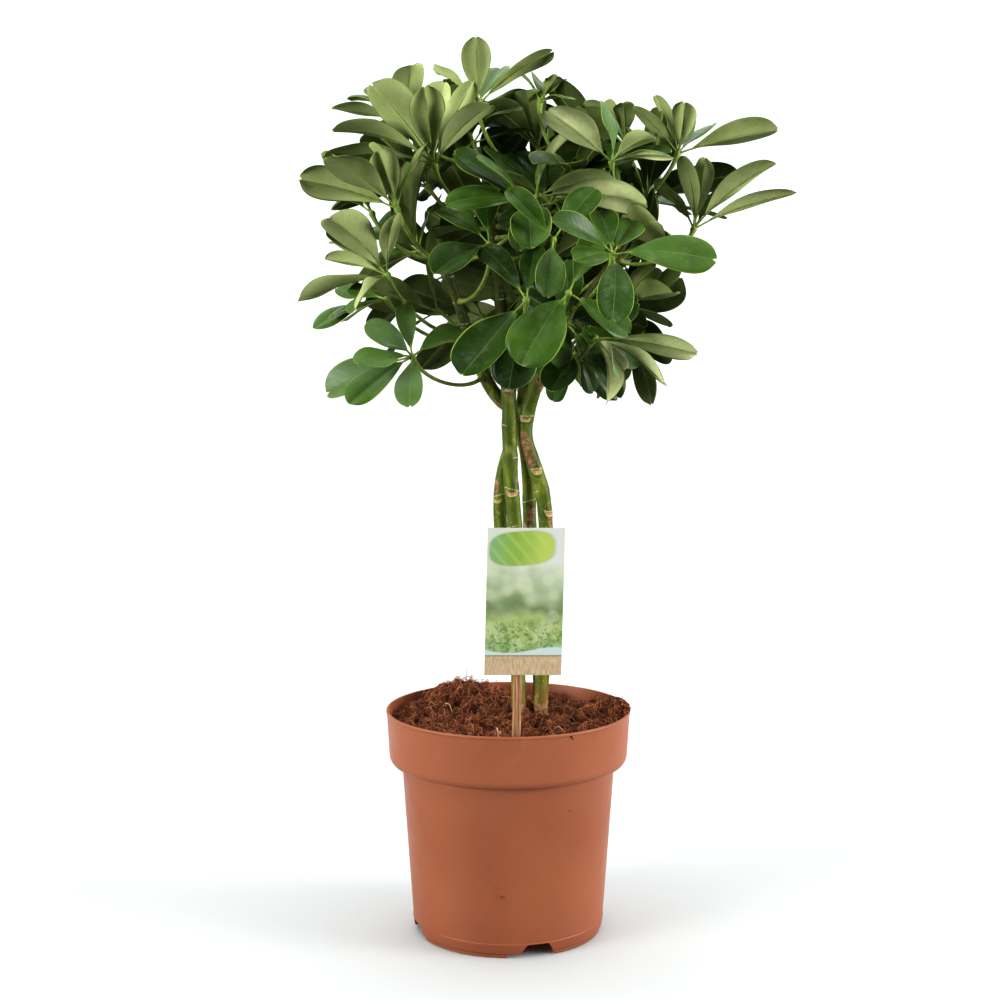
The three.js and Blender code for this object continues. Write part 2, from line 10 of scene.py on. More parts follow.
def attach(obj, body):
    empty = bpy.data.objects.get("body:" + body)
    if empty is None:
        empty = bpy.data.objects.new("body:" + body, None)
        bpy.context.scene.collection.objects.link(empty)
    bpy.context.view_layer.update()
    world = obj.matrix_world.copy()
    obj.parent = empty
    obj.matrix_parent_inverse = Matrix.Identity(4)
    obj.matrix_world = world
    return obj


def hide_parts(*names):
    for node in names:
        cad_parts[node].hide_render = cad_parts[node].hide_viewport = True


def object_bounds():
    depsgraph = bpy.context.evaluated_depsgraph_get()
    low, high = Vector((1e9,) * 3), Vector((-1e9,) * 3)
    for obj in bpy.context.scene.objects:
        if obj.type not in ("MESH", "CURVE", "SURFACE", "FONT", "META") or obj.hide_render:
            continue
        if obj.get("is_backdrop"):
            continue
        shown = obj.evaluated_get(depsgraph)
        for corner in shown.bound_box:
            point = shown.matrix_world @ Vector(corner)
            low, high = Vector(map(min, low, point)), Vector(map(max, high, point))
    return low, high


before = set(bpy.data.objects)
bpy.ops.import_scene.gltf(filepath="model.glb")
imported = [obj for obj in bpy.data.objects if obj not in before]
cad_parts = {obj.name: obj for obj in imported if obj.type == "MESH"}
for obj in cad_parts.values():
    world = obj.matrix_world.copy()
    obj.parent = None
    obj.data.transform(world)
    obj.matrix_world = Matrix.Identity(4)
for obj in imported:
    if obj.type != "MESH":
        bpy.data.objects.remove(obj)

# Potted umbrella plant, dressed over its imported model. Shapes are worked out in millimetres
# and scaled when a mesh is made.
mm = 0.001
fullTurn = 2 * math.pi
cadLow, cadHigh = (np.array(corner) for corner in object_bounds())
scene = bpy.context.scene


def addObject(name, data):
    made = bpy.data.objects.new(name, data)
    scene.collection.objects.link(made)
    return made


# camera: stands where the photograph was taken from
cameraSetup = {"at": (-0.0064, -1.321, 0.482), "pitch": 6.23, "lens": 62.1, "sensor": 36.0}


def placeCamera():
    data = bpy.data.cameras.new("photo_camera")
    data.lens = cameraSetup["lens"]
    data.sensor_width = cameraSetup["sensor"]
    data.clip_end = 50
    holder = addObject("photo_camera", data)
    holder.location = cameraSetup["at"]
    holder.rotation_euler = (math.radians(90 - cameraSetup["pitch"]), 0, 0)
    scene.camera = holder


placeCamera()
print("camera placed")


# node helpers
class Wire:
    # what comes out of a node, reckoned with like a number
    def __init__(self, nodes, socket):
        self.nodes = nodes
        self.socket = socket

    def __add__(self, other):
        return self.nodes.maths("ADD", self, other)

    def __sub__(self, other):
        return self.nodes.maths("SUBTRACT", self, other)

    def __mul__(self, other):
        return self.nodes.maths("MULTIPLY", self, other)

    def __truediv__(self, other):
        return self.nodes.maths("DIVIDE", self, other)

    def __abs__(self):
        return self.nodes.maths("ABSOLUTE", self)

    def eased(self, low, high, outLow=0.0, outHigh=1.0):
        # goes smoothly from outLow to outHigh while this value goes from low to high
        ends = {"Value": self, "From Min": low, "From Max": high, "To Min": outLow, "To Max": outHigh}
        return self.nodes.wire("ShaderNodeMapRange", ends, interpolation_type="SMOOTHSTEP")


class Nodes:
    def __init__(self, tree):
        self.tree = tree

    def plug(self, value, socket):
        if isinstance(value, Wire):
            self.tree.links.new(value.socket, socket)
        elif socket.type == "RGBA":
            socket.default_value = (*value, 1.0)
        else:
            socket.default_value = value

    def add(self, kind, inputs=None, **settings):
        made = self.tree.nodes.new(kind)
        for key, value in settings.items():
            setattr(made, key, value)
        for key, value in (inputs or {}).items():
            self.plug(value, made.inputs[key])
        return made

    def wire(self, kind, inputs=None, output=0, **settings):
        return Wire(self, self.add(kind, inputs, **settings).outputs[output])

    def maths(self, operation, first, second=0.0):
        return self.wire("ShaderNodeMath", {0: first, 1: second}, operation=operation)

    def mixed(self, share, first, second):
        return self.wire("ShaderNodeMix", {0: share, 6: first, 7: second}, 2, data_type="RGBA")

    def ramp(self, value, *stops):
        # each stop is a place from 0 to 1, then red, green and blue
        made = self.add("ShaderNodeValToRGB", {"Fac": value})
        elements = made.color_ramp.elements
        while len(elements) < len(stops):
            elements.new(0.5)
        for element, (place, *shade) in zip(elements, stops):
            element.position = place
            element.color = (*shade, 1.0)
        return Wire(self, made.outputs["Color"])


class Paint(Nodes):
    # a material whose colour, tint, is built up coat by coat
    def __init__(self, name, **sockets):
        self.material = bpy.data.materials.new(name)
        self.material.use_nodes = True
        super().__init__(self.material.node_tree)
        self.shader = self.tree.nodes["Principled BSDF"]
        for key, value in sockets.items():
            self.shader.inputs[key.replace("_", " ")].default_value = value
        self.place = self.wire("ShaderNodeTexCoord", output="Object")
        self.tint = None

    def axis(self, name):
        return self.wire("ShaderNodeSeparateXYZ", {0: self.place}, name)

    def mark(self, name):
        return self.wire("ShaderNodeAttribute", None, "Fac", attribute_name=name)

    def stretched(self, stretch):
        if stretch is None:
            return self.place
        return self.wire("ShaderNodeVectorMath", {0: self.place, 1: stretch}, operation="MULTIPLY")

    def grain(self, scale, detail=3.0, roughness=0.5, distortion=0.0, stretch=None):
        look = {"Vector": self.stretched(stretch), "Scale": scale, "Detail": detail,
                "Roughness": roughness, "Distortion": distortion}
        return self.wire("ShaderNodeTexNoise", look, "Fac")

    def cells(self, scale, feature="F1", stretch=None):
        look = {"Vector": self.stretched(stretch), "Scale": scale, "Randomness": 1.0}
        return self.add("ShaderNodeTexVoronoi", look, feature=feature)

    def dots(self, scale, channel, chosen, size, stretch=None):
        # a dot in each cell whose random colour has enough of one channel
        cells = self.cells(scale, stretch=stretch)
        share = self.wire("ShaderNodeSeparateColor", {0: Wire(self, cells.outputs["Color"])}, channel)
        return share.eased(*chosen) * Wire(self, cells.outputs["Distance"]).eased(*size, 1.0, 0.0)

    def coat(self, share, shade):
        self.tint = self.mixed(share, self.tint, shade)

    def finish(self, roughness=None, relief=None, strength=0.0, depth=0.0):
        self.plug(self.tint, self.shader.inputs["Base Color"])
        if roughness:
            self.plug(roughness, self.shader.inputs["Roughness"])
        if relief:
            bump = {"Height": relief, "Strength": strength, "Distance": depth}
            self.plug(self.wire("ShaderNodeBump", bump, "Normal"), self.shader.inputs["Normal"])
        return self.material


# mesh helpers
def newShells(*marks):
    return {"points": [], "faces": [], "skins": [], "count": 0, "marks": {name: [] for name in marks}}


def addShell(shells, points, faces, skin=0, **marks):
    points = np.asarray(points, float)
    first = shells["count"]
    shells["points"].append(points)
    shells["faces"] += [tuple(first + corner for corner in face) for face in faces]
    shells["skins"] += [skin] * len(faces) if np.isscalar(skin) else list(skin)
    shells["count"] += len(points)
    for name, values in shells["marks"].items():
        values.append(np.broadcast_to(marks.get(name, 0.0), len(points)))


def makePiece(name, shells, materials, slot, *nodes):
    mesh = bpy.data.meshes.new(name)
    points = np.clip(np.concatenate(shells["points"]) * mm, cadLow, cadHigh)
    mesh.from_pydata(points.tolist(), [], shells["faces"])
    for material in materials:
        mesh.materials.append(material)
    mesh.polygons.foreach_set("material_index", shells["skins"])
    mesh.shade_smooth()
    for key, values in shells["marks"].items():
        layer = mesh.attributes.new(key, "FLOAT", "POINT")
        layer.data.foreach_set("value", np.concatenate(values).astype(np.float32))
    mesh.update()
    piece = addObject(name, mesh)
    if nodes:
        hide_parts(*nodes)
    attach(piece, "root")
    return piece


def plainObject(name, points, faces):
    mesh = bpy.data.meshes.new(name)
    mesh.from_pydata((np.asarray(points, float) * mm).tolist(), [], faces)
    return addObject(name, mesh)


def closedFaces(rings, sides):
    # the faces round a stack of rings, and one at each end
    faces = []
    for low in range(0, (rings - 1) * sides, sides):
        for j in range(sides):
            k = (j + 1) % sides
            faces.append((low + j, low + k, low + sides + k, low + sides + j))
    last = (rings - 1) * sides
    return faces + [tuple(range(sides - 1, -1, -1)), tuple(range(last, last + sides))]


def gridFaces(index):
    # the faces between the rows and columns of a table of point numbers
    rows, columns = index.shape
    return [(index[i, j], index[i, j + 1], index[i + 1, j + 1], index[i + 1, j])
            for i in range(rows - 1) for j in range(columns - 1)]


def flipped(faces):
    return [face[::-1] for face in faces]


def evenAngles(count):
    return np.arange(count) * fullTurn / count


def unit(vector):
    return vector / np.linalg.norm(vector)


def tubeShell(path, radii, sides):
    # a closed tube along path; radii holds one number or one ring of numbers for each point
    path = np.asarray(path, float)
    count = len(path)
    if np.ndim(radii) < 2:
        radii = np.reshape(radii, (np.size(radii), 1))
    radii = np.broadcast_to(radii, (count, sides))
    heading = np.gradient(path, axis=0)
    heading /= np.linalg.norm(heading, axis=1, keepdims=True)
    across = np.array([0.0, -1.0, 0.0]) if abs(heading[0][1]) < 0.9 else np.array([1.0, 0.0, 0.0])
    angles = evenAngles(sides)
    points = []
    for i in range(count):
        across = unit(across - heading[i] * np.dot(across, heading[i]))
        up = np.cross(heading[i], across)
        ring = np.outer(np.cos(angles), across) + np.outer(np.sin(angles), up)
        points.append(path[i] + ring * radii[i][:, None])
    return np.concatenate(points), closedFaces(count, sides)


def latheShell(profile, segments):
    # profile runs from the axis out and round to the axis again, heights last
    ringPoints = profile[1:-1]
    points = [[0, 0, profile[0][1]]]
    for radius, height in ringPoints:
        points += [[radius * math.sin(a), -radius * math.cos(a), height] for a in evenAngles(segments)]
    points.append([0, 0, profile[-1][1]])
    faces = []
    for j in range(segments):
        k = (j + 1) % segments
        faces.append((0, 1 + k, 1 + j))
        for i in range(len(ringPoints) - 1):
            low = 1 + i * segments
            faces.append((low + j, low + k, low + segments + k, low + segments + j))
        low = 1 + (len(ringPoints) - 1) * segments
        faces.append((low + j, low + k, len(points) - 1))
    return np.array(points, float), faces


class Draw:
    # the same run of random numbers as the part's own
    def __init__(self, seed):
        self.seed = seed

    def between(self, low, high):
        self.seed = (self.seed * 16807) % 2147483647
        return low + (high - low) * self.seed / 2147483647


# pot
pot = {
    "segments": 168, "wall": 1.8, "rimRadius": 95, "rimHeight": 174.8, "collarRadius": 92.6,
    "collarHeight": 134, "shoulderRadius": 83, "bodyRadius": 74.6, "footRadius": 73, "footWidth": 7,
    "footHeight": 2.6, "footSpan": 60, "footStart": 29, "floorUnder": 11, "floorThick": 2.2,
    "bossRadius": 12, "notchTop": 16, "notchBottom": 28, "notchHeight": 10.5, "notchAt": 17.5,
    "drainRadius": 5, "drainCircle": 52, "ledgeHeight": 11.4, "ledge": 0.4, "beadHeight": 1.9,
    # how far out from the middle the gaps and the notches are cut, and how far up the drain holes are
    "gapCut": (56, 90), "notchCut": (58, 88), "drainCut": (6, 18),
    "smearAt": (-0.004, -0.076, 0.053),  # in metres, as the material sees it
}


def potMaterial():
    paint = Paint("pot_terracotta_plastic", Specular_IOR_Level=0.18)
    height = paint.axis("Z")
    paint.tint = paint.ramp(paint.grain(16, 4), (0.3, 0.263, 0.085, 0.041), (0.7, 0.295, 0.100, 0.048))
    # handling marks, most of them under the rim; the dust among them lies thick on the collar as painted
    # light that brightens it too
    dustAndLight = paint.grain(55, 6, 0.7).eased(0.55, 0.8) * height.eased(0.11, 0.15, 0.08, 0.34)
    paint.coat(dustAndLight, (0.42, 0.185, 0.11))
    # painted light: lighter from just below the collar's foot and over the collar, lifting the shade that the
    # collar casts
    paint.coat(height.eased(0.10, 0.134, 0, 0.3), (0.34, 0.124, 0.066))
    # darker rubbed marks
    rub = paint.grain(24, 7, 0.75, stretch=(1, 1, 0.5)).eased(0.6, 0.78, 0, 0.35)
    paint.coat(rub, (0.20, 0.055, 0.024))
    # one smear low on the front, and painted shade darkening the foot
    away = {0: paint.place, 1: pot["smearAt"]}
    away = paint.wire("ShaderNodeVectorMath", away, "Value", operation="DISTANCE").eased(0.004, 0.013, 1, 0)
    smear = away * paint.grain(120, 5, 0.6, stretch=(1, 1, 1.6)).eased(0.48, 0.66, 0, 0.3)
    paint.coat(smear, (0.15, 0.045, 0.02))
    # painted shade: the wall darkens toward the foot
    paint.coat(height.eased(0.0, 0.05, 0.22, 0), (0.17, 0.045, 0.02))
    specks = paint.dots(130, 0, (0.975, 0.985), (0.05, 0.1))
    paint.coat(specks * 0.4, (0.09, 0.035, 0.02))
    # moulded skin with faint turning lines
    lines = paint.maths("SINE", height * 3400)
    skin = paint.grain(900, 2) + lines * 0.12
    return paint.finish(paint.grain(35, 5, 0.65).eased(0.3, 0.75, 0.36, 0.50), skin, 0.2, 0.0001)


def wallRadius(height):
    share = (height - pot["floorUnder"]) / (pot["collarHeight"] - pot["floorUnder"])
    return pot["bodyRadius"] + (pot["shoulderRadius"] - pot["bodyRadius"]) * share


def rounded(corner, before, after, radius):
    # points of a rounded corner between two neighbours of a profile
    corner, before, after = (np.array(p, float) for p in (corner, before, after))
    first = corner + (before - corner) / np.linalg.norm(before - corner) * radius
    last = corner + (after - corner) / np.linalg.norm(after - corner) * radius
    shares = np.linspace(0, 1, 5)[:, None]
    curve = (1 - shares) ** 2 * first + 2 * shares * (1 - shares) * corner + shares**2 * last
    return [tuple(point) for point in curve]


def roundedProfile(corners):
    # corners of (radius, height, rounding)
    points = []
    for i, (radius, height, rounding) in enumerate(corners):
        if rounding == 0:
            points.append((radius, height))
        else:
            points += rounded((radius, height), corners[i - 1][:2], corners[i + 1][:2], rounding)
    return points


def prism(outline, start, end, turn):
    # outline of (across, height) pairs pushed from start to end along -Y and turned about Z
    points = [(x, -y, z) for y in (start, end) for x, z in outline]
    spun = np.array(points) @ np.array(Matrix.Rotation(math.radians(turn), 3, "Z")).T
    return spun, closedFaces(2, len(outline))


def ringSector(inner, outer, low, high, start, span):
    steps = 16
    angles = [math.radians(start + span * i / steps - 90) for i in range(steps + 1)]
    loop = [(outer * math.cos(a), outer * math.sin(a)) for a in angles]
    loop += [(inner * math.cos(a), inner * math.sin(a)) for a in reversed(angles)]
    return np.array([(x, y, z) for z in (low, high) for x, y in loop]), closedFaces(2, len(loop))


def potProfile():
    wall, ledge, floorUnder = pot["wall"], pot["ledge"], pot["floorUnder"]
    floorTop = floorUnder + pot["floorThick"]
    foot, footInside, footTop = pot["footRadius"], pot["footRadius"] - pot["footWidth"], pot["footHeight"]
    ledgeRadius, ledgeHeight = wallRadius(pot["ledgeHeight"]), pot["ledgeHeight"]
    collar, collarFoot, shoulder = pot["collarRadius"], pot["collarHeight"], pot["shoulderRadius"]
    rim, rimTop = pot["rimRadius"], pot["rimHeight"]
    beadFoot = rimTop - pot["beadHeight"]
    return roundedProfile([
        (0, 0, 0), (pot["bossRadius"], 0, 1), (pot["bossRadius"] + 1, floorUnder, 1.5),
        (footInside - 1, floorUnder, 1.5), (footInside, 0, 0.8), (foot - 0.8, 0, 0.6),
        (foot - 0.6, footTop - 0.3, 0.2), (foot - 1.3, footTop, 0.2), (foot + 0.6, footTop + 0.5, 1.1),
        (ledgeRadius + ledge, ledgeHeight - ledge, 0.38), (ledgeRadius, ledgeHeight + 0.2, 0.15),
        (shoulder, collarFoot + 0.4, 1.2), (collar - 2.4, collarFoot, 1.5), (collar, collarFoot + 3.4, 2.4),
        (rim - 0.45, beadFoot - 0.3, 0.2), (rim, beadFoot, 0.25), (rim, rimTop, 0.8),
        (rim - wall, rimTop, 0.6), (collar - wall, collarFoot + 6, 2), (shoulder - wall, collarFoot + 1, 2),
        (wallRadius(floorTop + 3) - wall, floorTop + 3, 1.5),
        (wallRadius(floorTop) - wall - 3, floorTop, 1.5), (0, floorTop, 0),
    ])


def potCuts():
    # the gaps between the four feet, a drain notch in each gap, and the drain holes
    gapSpan = 90 - pot["footSpan"]
    half, top, height = pot["notchBottom"] / 2, pot["notchTop"] / 2, pot["notchHeight"]
    foot = pot["footHeight"]
    outline = [(-half, -3), (half, -3), (half, foot - 0.2), (top + 1, height - 0.8), (top - 0.6, height),
               (-top + 0.6, height), (-top - 1, height - 0.8), (-half, foot - 0.2)]
    cuts = {"pot_reliefs": newShells(), "pot_mouths": newShells(), "pot_drains": newShells()}
    for turn in range(0, 360, 90):
        start = pot["footStart"] - gapSpan + turn
        addShell(cuts["pot_reliefs"], *ringSector(*pot["gapCut"], -4, foot + 0.05, start, gapSpan))
        addShell(cuts["pot_mouths"], *prism(outline, *pot["notchCut"], pot["notchAt"] + turn))
        angle = math.radians(pot["notchAt"] + turn)
        middle = np.array([pot["drainCircle"] * math.sin(angle), -pot["drainCircle"] * math.cos(angle), 0])
        path = [middle + (0, 0, z) for z in pot["drainCut"]]
        addShell(cuts["pot_drains"], *tubeShell(path, pot["drainRadius"], 28))
    return [plainObject(name, np.concatenate(cut["points"]), cut["faces"]) for name, cut in cuts.items()]


def makePot():
    blank = plainObject("pot_blank", *latheShell(potProfile(), pot["segments"]))
    tools = potCuts()
    for tool in tools:
        carve = blank.modifiers.new(tool.name, "BOOLEAN")
        carve.operation = "DIFFERENCE"
        carve.solver = "EXACT"
        carve.object = tool
    bpy.context.view_layer.update()
    carved = bpy.data.meshes.new_from_object(blank.evaluated_get(bpy.context.evaluated_depsgraph_get()))
    for spent in (blank, *tools):
        bpy.data.objects.remove(spent)
    carved.name = "pot_body"
    carved.shade_smooth()
    carved.set_sharp_from_angle(angle=math.radians(32))
    carved.materials.clear()
    carved.materials.append(potMaterial())
    piece = addObject("pot_body", carved)
    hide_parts("pot")
    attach(piece, "root")


makePot()
print("pot turned")


# soil
soil = {
    "edgeHeight": 165, "edgeRadius": 91.3, "rings": 110, "segments": 340, "clearance": 0.35,
    "humps": [(7, (16, 8), 32), (9, (-42, 52), 26), (-4, (52, 52), 24)],
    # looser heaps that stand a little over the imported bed, and how far the rough bed is sunk
    "loose": [(7, (-40, 66), 20), (9.5, (84, 10), 17), (4, (76, 38), 18), (2.5, (40, -60), 30),
              (2.5, (-50, -50), 30), (4.5, (-8, 50), 20)],
    "sunk": 1.2, "seed": 41,
    "crumbs": 3000, "heaped": 420, "spilled": 90, "largest": 3.2,
    # where crumbs are heaped and spilled: degrees from the front, their spread, and how far out
    "heapAt": (94, 15), "heapReach": (91.0, 92.3), "spillAt": (92, 9), "spillReach": (92.4, 94.6),
    # specks stuck to the pot wall: degrees from the front, height, size; and how far out on the collar
    "specks": [(-4, 49, 0.75), (-2.6, 49.6, 0.5), (34, 112, 0.5), (29, 172.5, 1.3), (29.8, 170.4, 0.8),
               (32.5, 167, 0.45), (-63, 77.5, 0.4), (140, 90, 0.6), (210, 50, 0.5), (265, 120, 0.5)],
    "speckReach": 94.3,
    "fibres": 4600, "fibreReach": 90, "fibreEdge": 91.6,
    "fibreTaper": (0.35, 0.8, 1, 1, 0.95, 0.75, 0.25),
    # hairs that stand over the heap and the right rim: x, y, rise
    "hairs": [(-32, 76, 9), (-28, 74, 6), (86, 8, 6), (88, -8, 5), (89, 20, 5), (-60, 58, 4)],
    # pale roots: start, heading, length, lift, bend
    "roots": [((-8, -74), (0.1, 0.9), 22, 7, 0.25), ((-4, -70), (-0.4, 0.7), 16, 5, -0.3),
              ((-34, -60), (0.9, 0.2), 20, 3, 0.2), ((44, -52), (-0.6, 0.5), 18, 3, 0.3),
              ((-52, 24), (0.5, -0.6), 20, 5, 0.2)],
}


def soilHeight(x, y):
    height = soil["edgeHeight"] + 1.5 * np.sin(0.11 * x + 0.9) * np.cos(0.13 * y)
    height = height + 1.1 * np.sin(0.23 * x - 0.19 * y)
    for rise, at, width in soil["humps"] + soil["loose"]:
        height = height + rise * np.exp(-((x - at[0]) ** 2 + (y - at[1]) ** 2) / (2 * width * width))
    return height


def lumps(x, y, pitch, layer):
    return noise.noise(Vector((x * pitch, y * pitch, layer)))


def roughHeight(x, y):
    # clods, finer lumps, and pits between them
    clods = 2.2 * lumps(x, y, 0.06, 3.1) + 4.0 * lumps(x, y, 0.15, 7.7) + 2.2 * lumps(x, y, 0.45, 1.3)
    pit = max(0, lumps(x, y, 0.085, 21.3) - 0.2)
    return clods + 3.6 * abs(lumps(x, y, 0.11, 12.9)) - 13 * pit - 0.4


def surfaceAt(x, y):
    return float(soilHeight(x, y)) + roughHeight(x, y) - soil["sunk"]


def soilMaterial():
    paint = Paint("peat_and_coir", Specular_IOR_Level=0.12)
    clod, fleck = paint.grain(150, 9, 0.78), paint.grain(800, 4, 0.7)
    paint.tint = paint.ramp(clod, (0.34, 0.005, 0.0015, 0.001), (0.47, 0.07, 0.019, 0.008),
                            (0.57, 0.24, 0.074, 0.030), (0.67, 0.50, 0.19, 0.085))
    paint.coat(fleck.eased(0.52, 0.70, 0, 0.65), (0.56, 0.24, 0.10))
    thread = paint.grain(230, 5, 0.6, 2.5, (1.0, 0.16, 0.6))
    paint.coat(thread.eased(0.58, 0.66, 0, 0.65), (0.56, 0.24, 0.10))
    return paint.finish(clod.eased(0.3, 0.7, 0.98, 0.85), clod + fleck * 0.5, 1.0, 0.0022)


def crumbMaterial():
    paint = Paint("soil_crumbs", Specular_IOR_Level=0.12, Roughness=0.92)
    tone = paint.mark("tone") + paint.grain(600, 5, 0.7) * 0.4
    paint.tint = paint.ramp(tone, (0.2, 0.007, 0.0025, 0.001), (0.5, 0.10, 0.029, 0.012),
                            (0.8, 0.28, 0.092, 0.038), (1.0, 0.56, 0.23, 0.10))
    return paint.finish(None, paint.grain(1500, 4, 0.7), 0.8, 0.0006)


def fibreMaterial():
    paint = Paint("coir_fibres", Specular_IOR_Level=0.2)
    paint.tint = paint.ramp(paint.mark("tone"), (0.0, 0.030, 0.009, 0.004), (0.35, 0.20, 0.060, 0.024),
                            (0.75, 0.50, 0.19, 0.078), (0.97, 0.72, 0.48, 0.27))
    stripes = paint.grain(1800, 2)
    paint.coat(stripes.eased(0.35, 0.7, 0, 0.3), (0.08, 0.03, 0.015))
    return paint.finish(stripes.eased(0.3, 0.7, 0.6, 0.85), stripes, 0.4, 0.0001)


def makeSoilBed():
    # the bed's sides follow the inside of the pot
    wall = pot["wall"] + soil["clearance"]
    floorTop = pot["floorUnder"] + pot["floorThick"]
    collar, edge, top = pot["collarHeight"], soil["edgeRadius"], soil["edgeHeight"]
    profile = [
        (0, floorTop + soil["clearance"]), (wallRadius(floorTop) - wall - 3, floorTop + soil["clearance"]),
        (wallRadius(floorTop + 3) - wall, floorTop + 3),
        (pot["shoulderRadius"] - wall, collar + soil["clearance"]),
        (pot["collarRadius"] - wall - 1.8, collar + 3.6), (pot["collarRadius"] - wall, collar + 6.4),
        (edge + 0.3, top - 4),
    ]
    profile += [(edge * ring, top) for ring in np.linspace(1, 0, soil["rings"] + 1)[:-1]]
    points, faces = latheShell(profile + [(0, top)], soil["segments"])
    for point in points:
        if point[2] < top - 1:
            continue
        x, y = point[0], point[1]
        inward = min(1.0, (edge - math.hypot(x, y)) / 7)
        point[2] = soilHeight(x, y) + roughHeight(x, y) * (0.35 + 0.65 * inward) - soil["sunk"]
    shell = newShells()
    addShell(shell, points, faces)
    makePiece("soil_bed", shell, [soilMaterial()], "peat", "soil")


def lumpForm(detail):
    form = bmesh.new()
    bmesh.ops.create_icosphere(form, subdivisions=detail, radius=1)
    points = np.array([vertex.co[:] for vertex in form.verts])
    faces = [tuple(vertex.index for vertex in face.verts) for face in form.faces]
    form.free()
    return points, faces


def makeCrumbs(draw):
    shells = newShells("tone")
    small, large = lumpForm(1), lumpForm(2)

    def addCrumb(x, y, z, size, tone):
        points, faces = large if size > 1.1 else small
        shape = 1 + draw.normal(0, 0.2, len(points))[:, None]
        turn, axis = draw.uniform(0, 6.28), Vector(draw.normal(0, 1, 3)).normalized()
        spin = np.array(Matrix.Rotation(turn, 3, axis))
        stretch = draw.uniform((0.7, 0.6, 0.45), (1.45, 1.1, 0.8))
        addShell(shells, (points * shape * stretch * size) @ spin.T + (x, y, z), faces, tone=tone)

    for i in range(soil["crumbs"]):
        reach = (soil["edgeRadius"] - 0.6) * math.sqrt(draw.uniform(0, 1))
        angle = draw.uniform(0, fullTurn)
        x, y = reach * math.cos(angle), reach * math.sin(angle)
        size = min(0.45 + 0.5 * draw.pareto(2.8), soil["largest"])
        addCrumb(x, y, surfaceAt(x, y) + size * 0.2, size, draw.beta(1.6, 2.2) * min(1, 1.3 / size))
    # crumbs heaped against the wall at the right and spilled on the rim
    heapStart, heapEnd = soil["heapReach"]
    for i in range(soil["heaped"]):
        angle = math.radians(draw.normal(*soil["heapAt"]))
        reach = min(heapEnd, heapStart + abs(draw.normal(0, 0.7)))
        x, y = reach * math.sin(angle), -reach * math.cos(angle)
        z = min(surfaceAt(x, y) + draw.uniform(-1, 2.5), pot["rimHeight"] + 0.7)
        addCrumb(x, y, z, draw.uniform(0.5, 1.7), draw.beta(2, 3))
    for i in range(soil["spilled"]):
        angle = math.radians(draw.normal(*soil["spillAt"]))
        reach = draw.uniform(*soil["spillReach"])
        size = draw.uniform(0.4, 1.3)
        z = pot["rimHeight"] + size * draw.uniform(0.3, 1.4)
        addCrumb(reach * math.sin(angle), -reach * math.cos(angle), z, size, draw.beta(2, 4))
    for degrees, height, size in soil["specks"]:
        reach = wallRadius(height) + 0.1 if height < pot["collarHeight"] else soil["speckReach"]
        angle = math.radians(degrees)
        addCrumb(reach * math.sin(angle), -reach * math.cos(angle), height, size, 0.1)
    makePiece("soil_crumbs", shells, [crumbMaterial()], "peat")


def fibrePath(start, heading, length, lift, bend, curl=0.0):
    side = np.array([-heading[1], heading[0]])
    path = []
    for share in np.linspace(0, 1, len(soil["fibreTaper"])):
        sway = bend * share**2 + curl * math.sin(6 * share)
        flat = start + heading * length * share + side * length * sway
        path.append((flat[0], flat[1], surfaceAt(*flat) + lift * math.sin(math.pi * share) + 0.4))
    return path


def makeFibres(draw):
    shells = newShells("tone")
    taper = np.array(soil["fibreTaper"])
    for i in range(soil["fibres"]):
        reach = soil["fibreReach"] * math.sqrt(draw.uniform(0, 1))
        angle = draw.uniform(0, fullTurn)
        start = np.array([reach * math.cos(angle), reach * math.sin(angle)])
        turn = draw.uniform(0, fullTurn)
        heading = np.array([math.cos(turn), math.sin(turn)])
        length = 3 + draw.gamma(2.0, 2.6)
        lift, bend, curl = draw.exponential(1.3), draw.normal(0, 0.4), draw.normal(0, 0.06)
        path = fibrePath(start, heading, length, lift, bend, curl)
        if max(math.hypot(x, y) for x, y, z in path) > soil["fibreEdge"]:
            continue
        radius = draw.uniform(0.12, 0.32)
        addShell(shells, *tubeShell(path, taper * radius, 3), tone=draw.beta(1.7, 1.9) * 0.9)
    for x, y, rise in soil["hairs"]:
        foot = surfaceAt(x, y) - 1
        path = [(x + 0.8 * k * draw.normal(0, 1), y + 0.4 * k, foot + rise * k / 6) for k in range(7)]
        addShell(shells, *tubeShell(path, taper * 0.3, 5), tone=0.15)
    for start, heading, *shape in soil["roots"]:
        path = fibrePath(np.array(start, float), np.array(heading), *shape)
        addShell(shells, *tubeShell(path, taper * 0.34, 5), tone=0.98)
    makePiece("soil_fibres", shells, [fibreMaterial()], "peat")


makeSoilBed()
soilDraw = np.random.RandomState(soil["seed"])
makeCrumbs(soilDraw)
makeFibres(soilDraw)
print("soil filled")


# stems
stems = [
    {"radius": 5.6, "route": [
        (8, 0, 118), (8, 0, 189), (6.5, 0, 255), (5, -1, 317), (2, -2, 354), (1, -2, 384),
        (0, 0, 422), (-4, 6, 470), (-10, 10, 520), (-16, 12, 570), (-21, 10, 606)]},
    {"radius": 5.2, "route": [
        (25, 15, 118), (25, 15, 189), (21, 16, 255), (17, 16, 315), (16, 15, 352), (12, 13.5, 383),
        (5, 13.5, 404), (-7, 13, 415), (-18, 10, 432), (-30, 2, 465), (-42, -8, 500), (-52, -16, 536)]},
    {"radius": 5.5, "route": [
        (26, 2, 118), (26, 2, 189), (31, 2, 250), (29, 2, 317), (26, 1, 345), (19, 1, 367),
        (13.5, 0, 386), (15, 0, 406), (24, -4, 434), (37, -8, 457), (58, -16, 490), (80, -22, 522),
        (98, -18, 552)]},
    {"radius": 5.1, "route": [
        (9, 13.5, 118), (9, 13.5, 189), (-1, 14, 255), (-6, 13.5, 315), (-6, 14, 343), (-3, 17, 362),
        (4, 26, 384), (11, 27, 411), (15, 27, 435), (26, 32, 470), (40, 40, 520), (50, 42, 572)]},
]
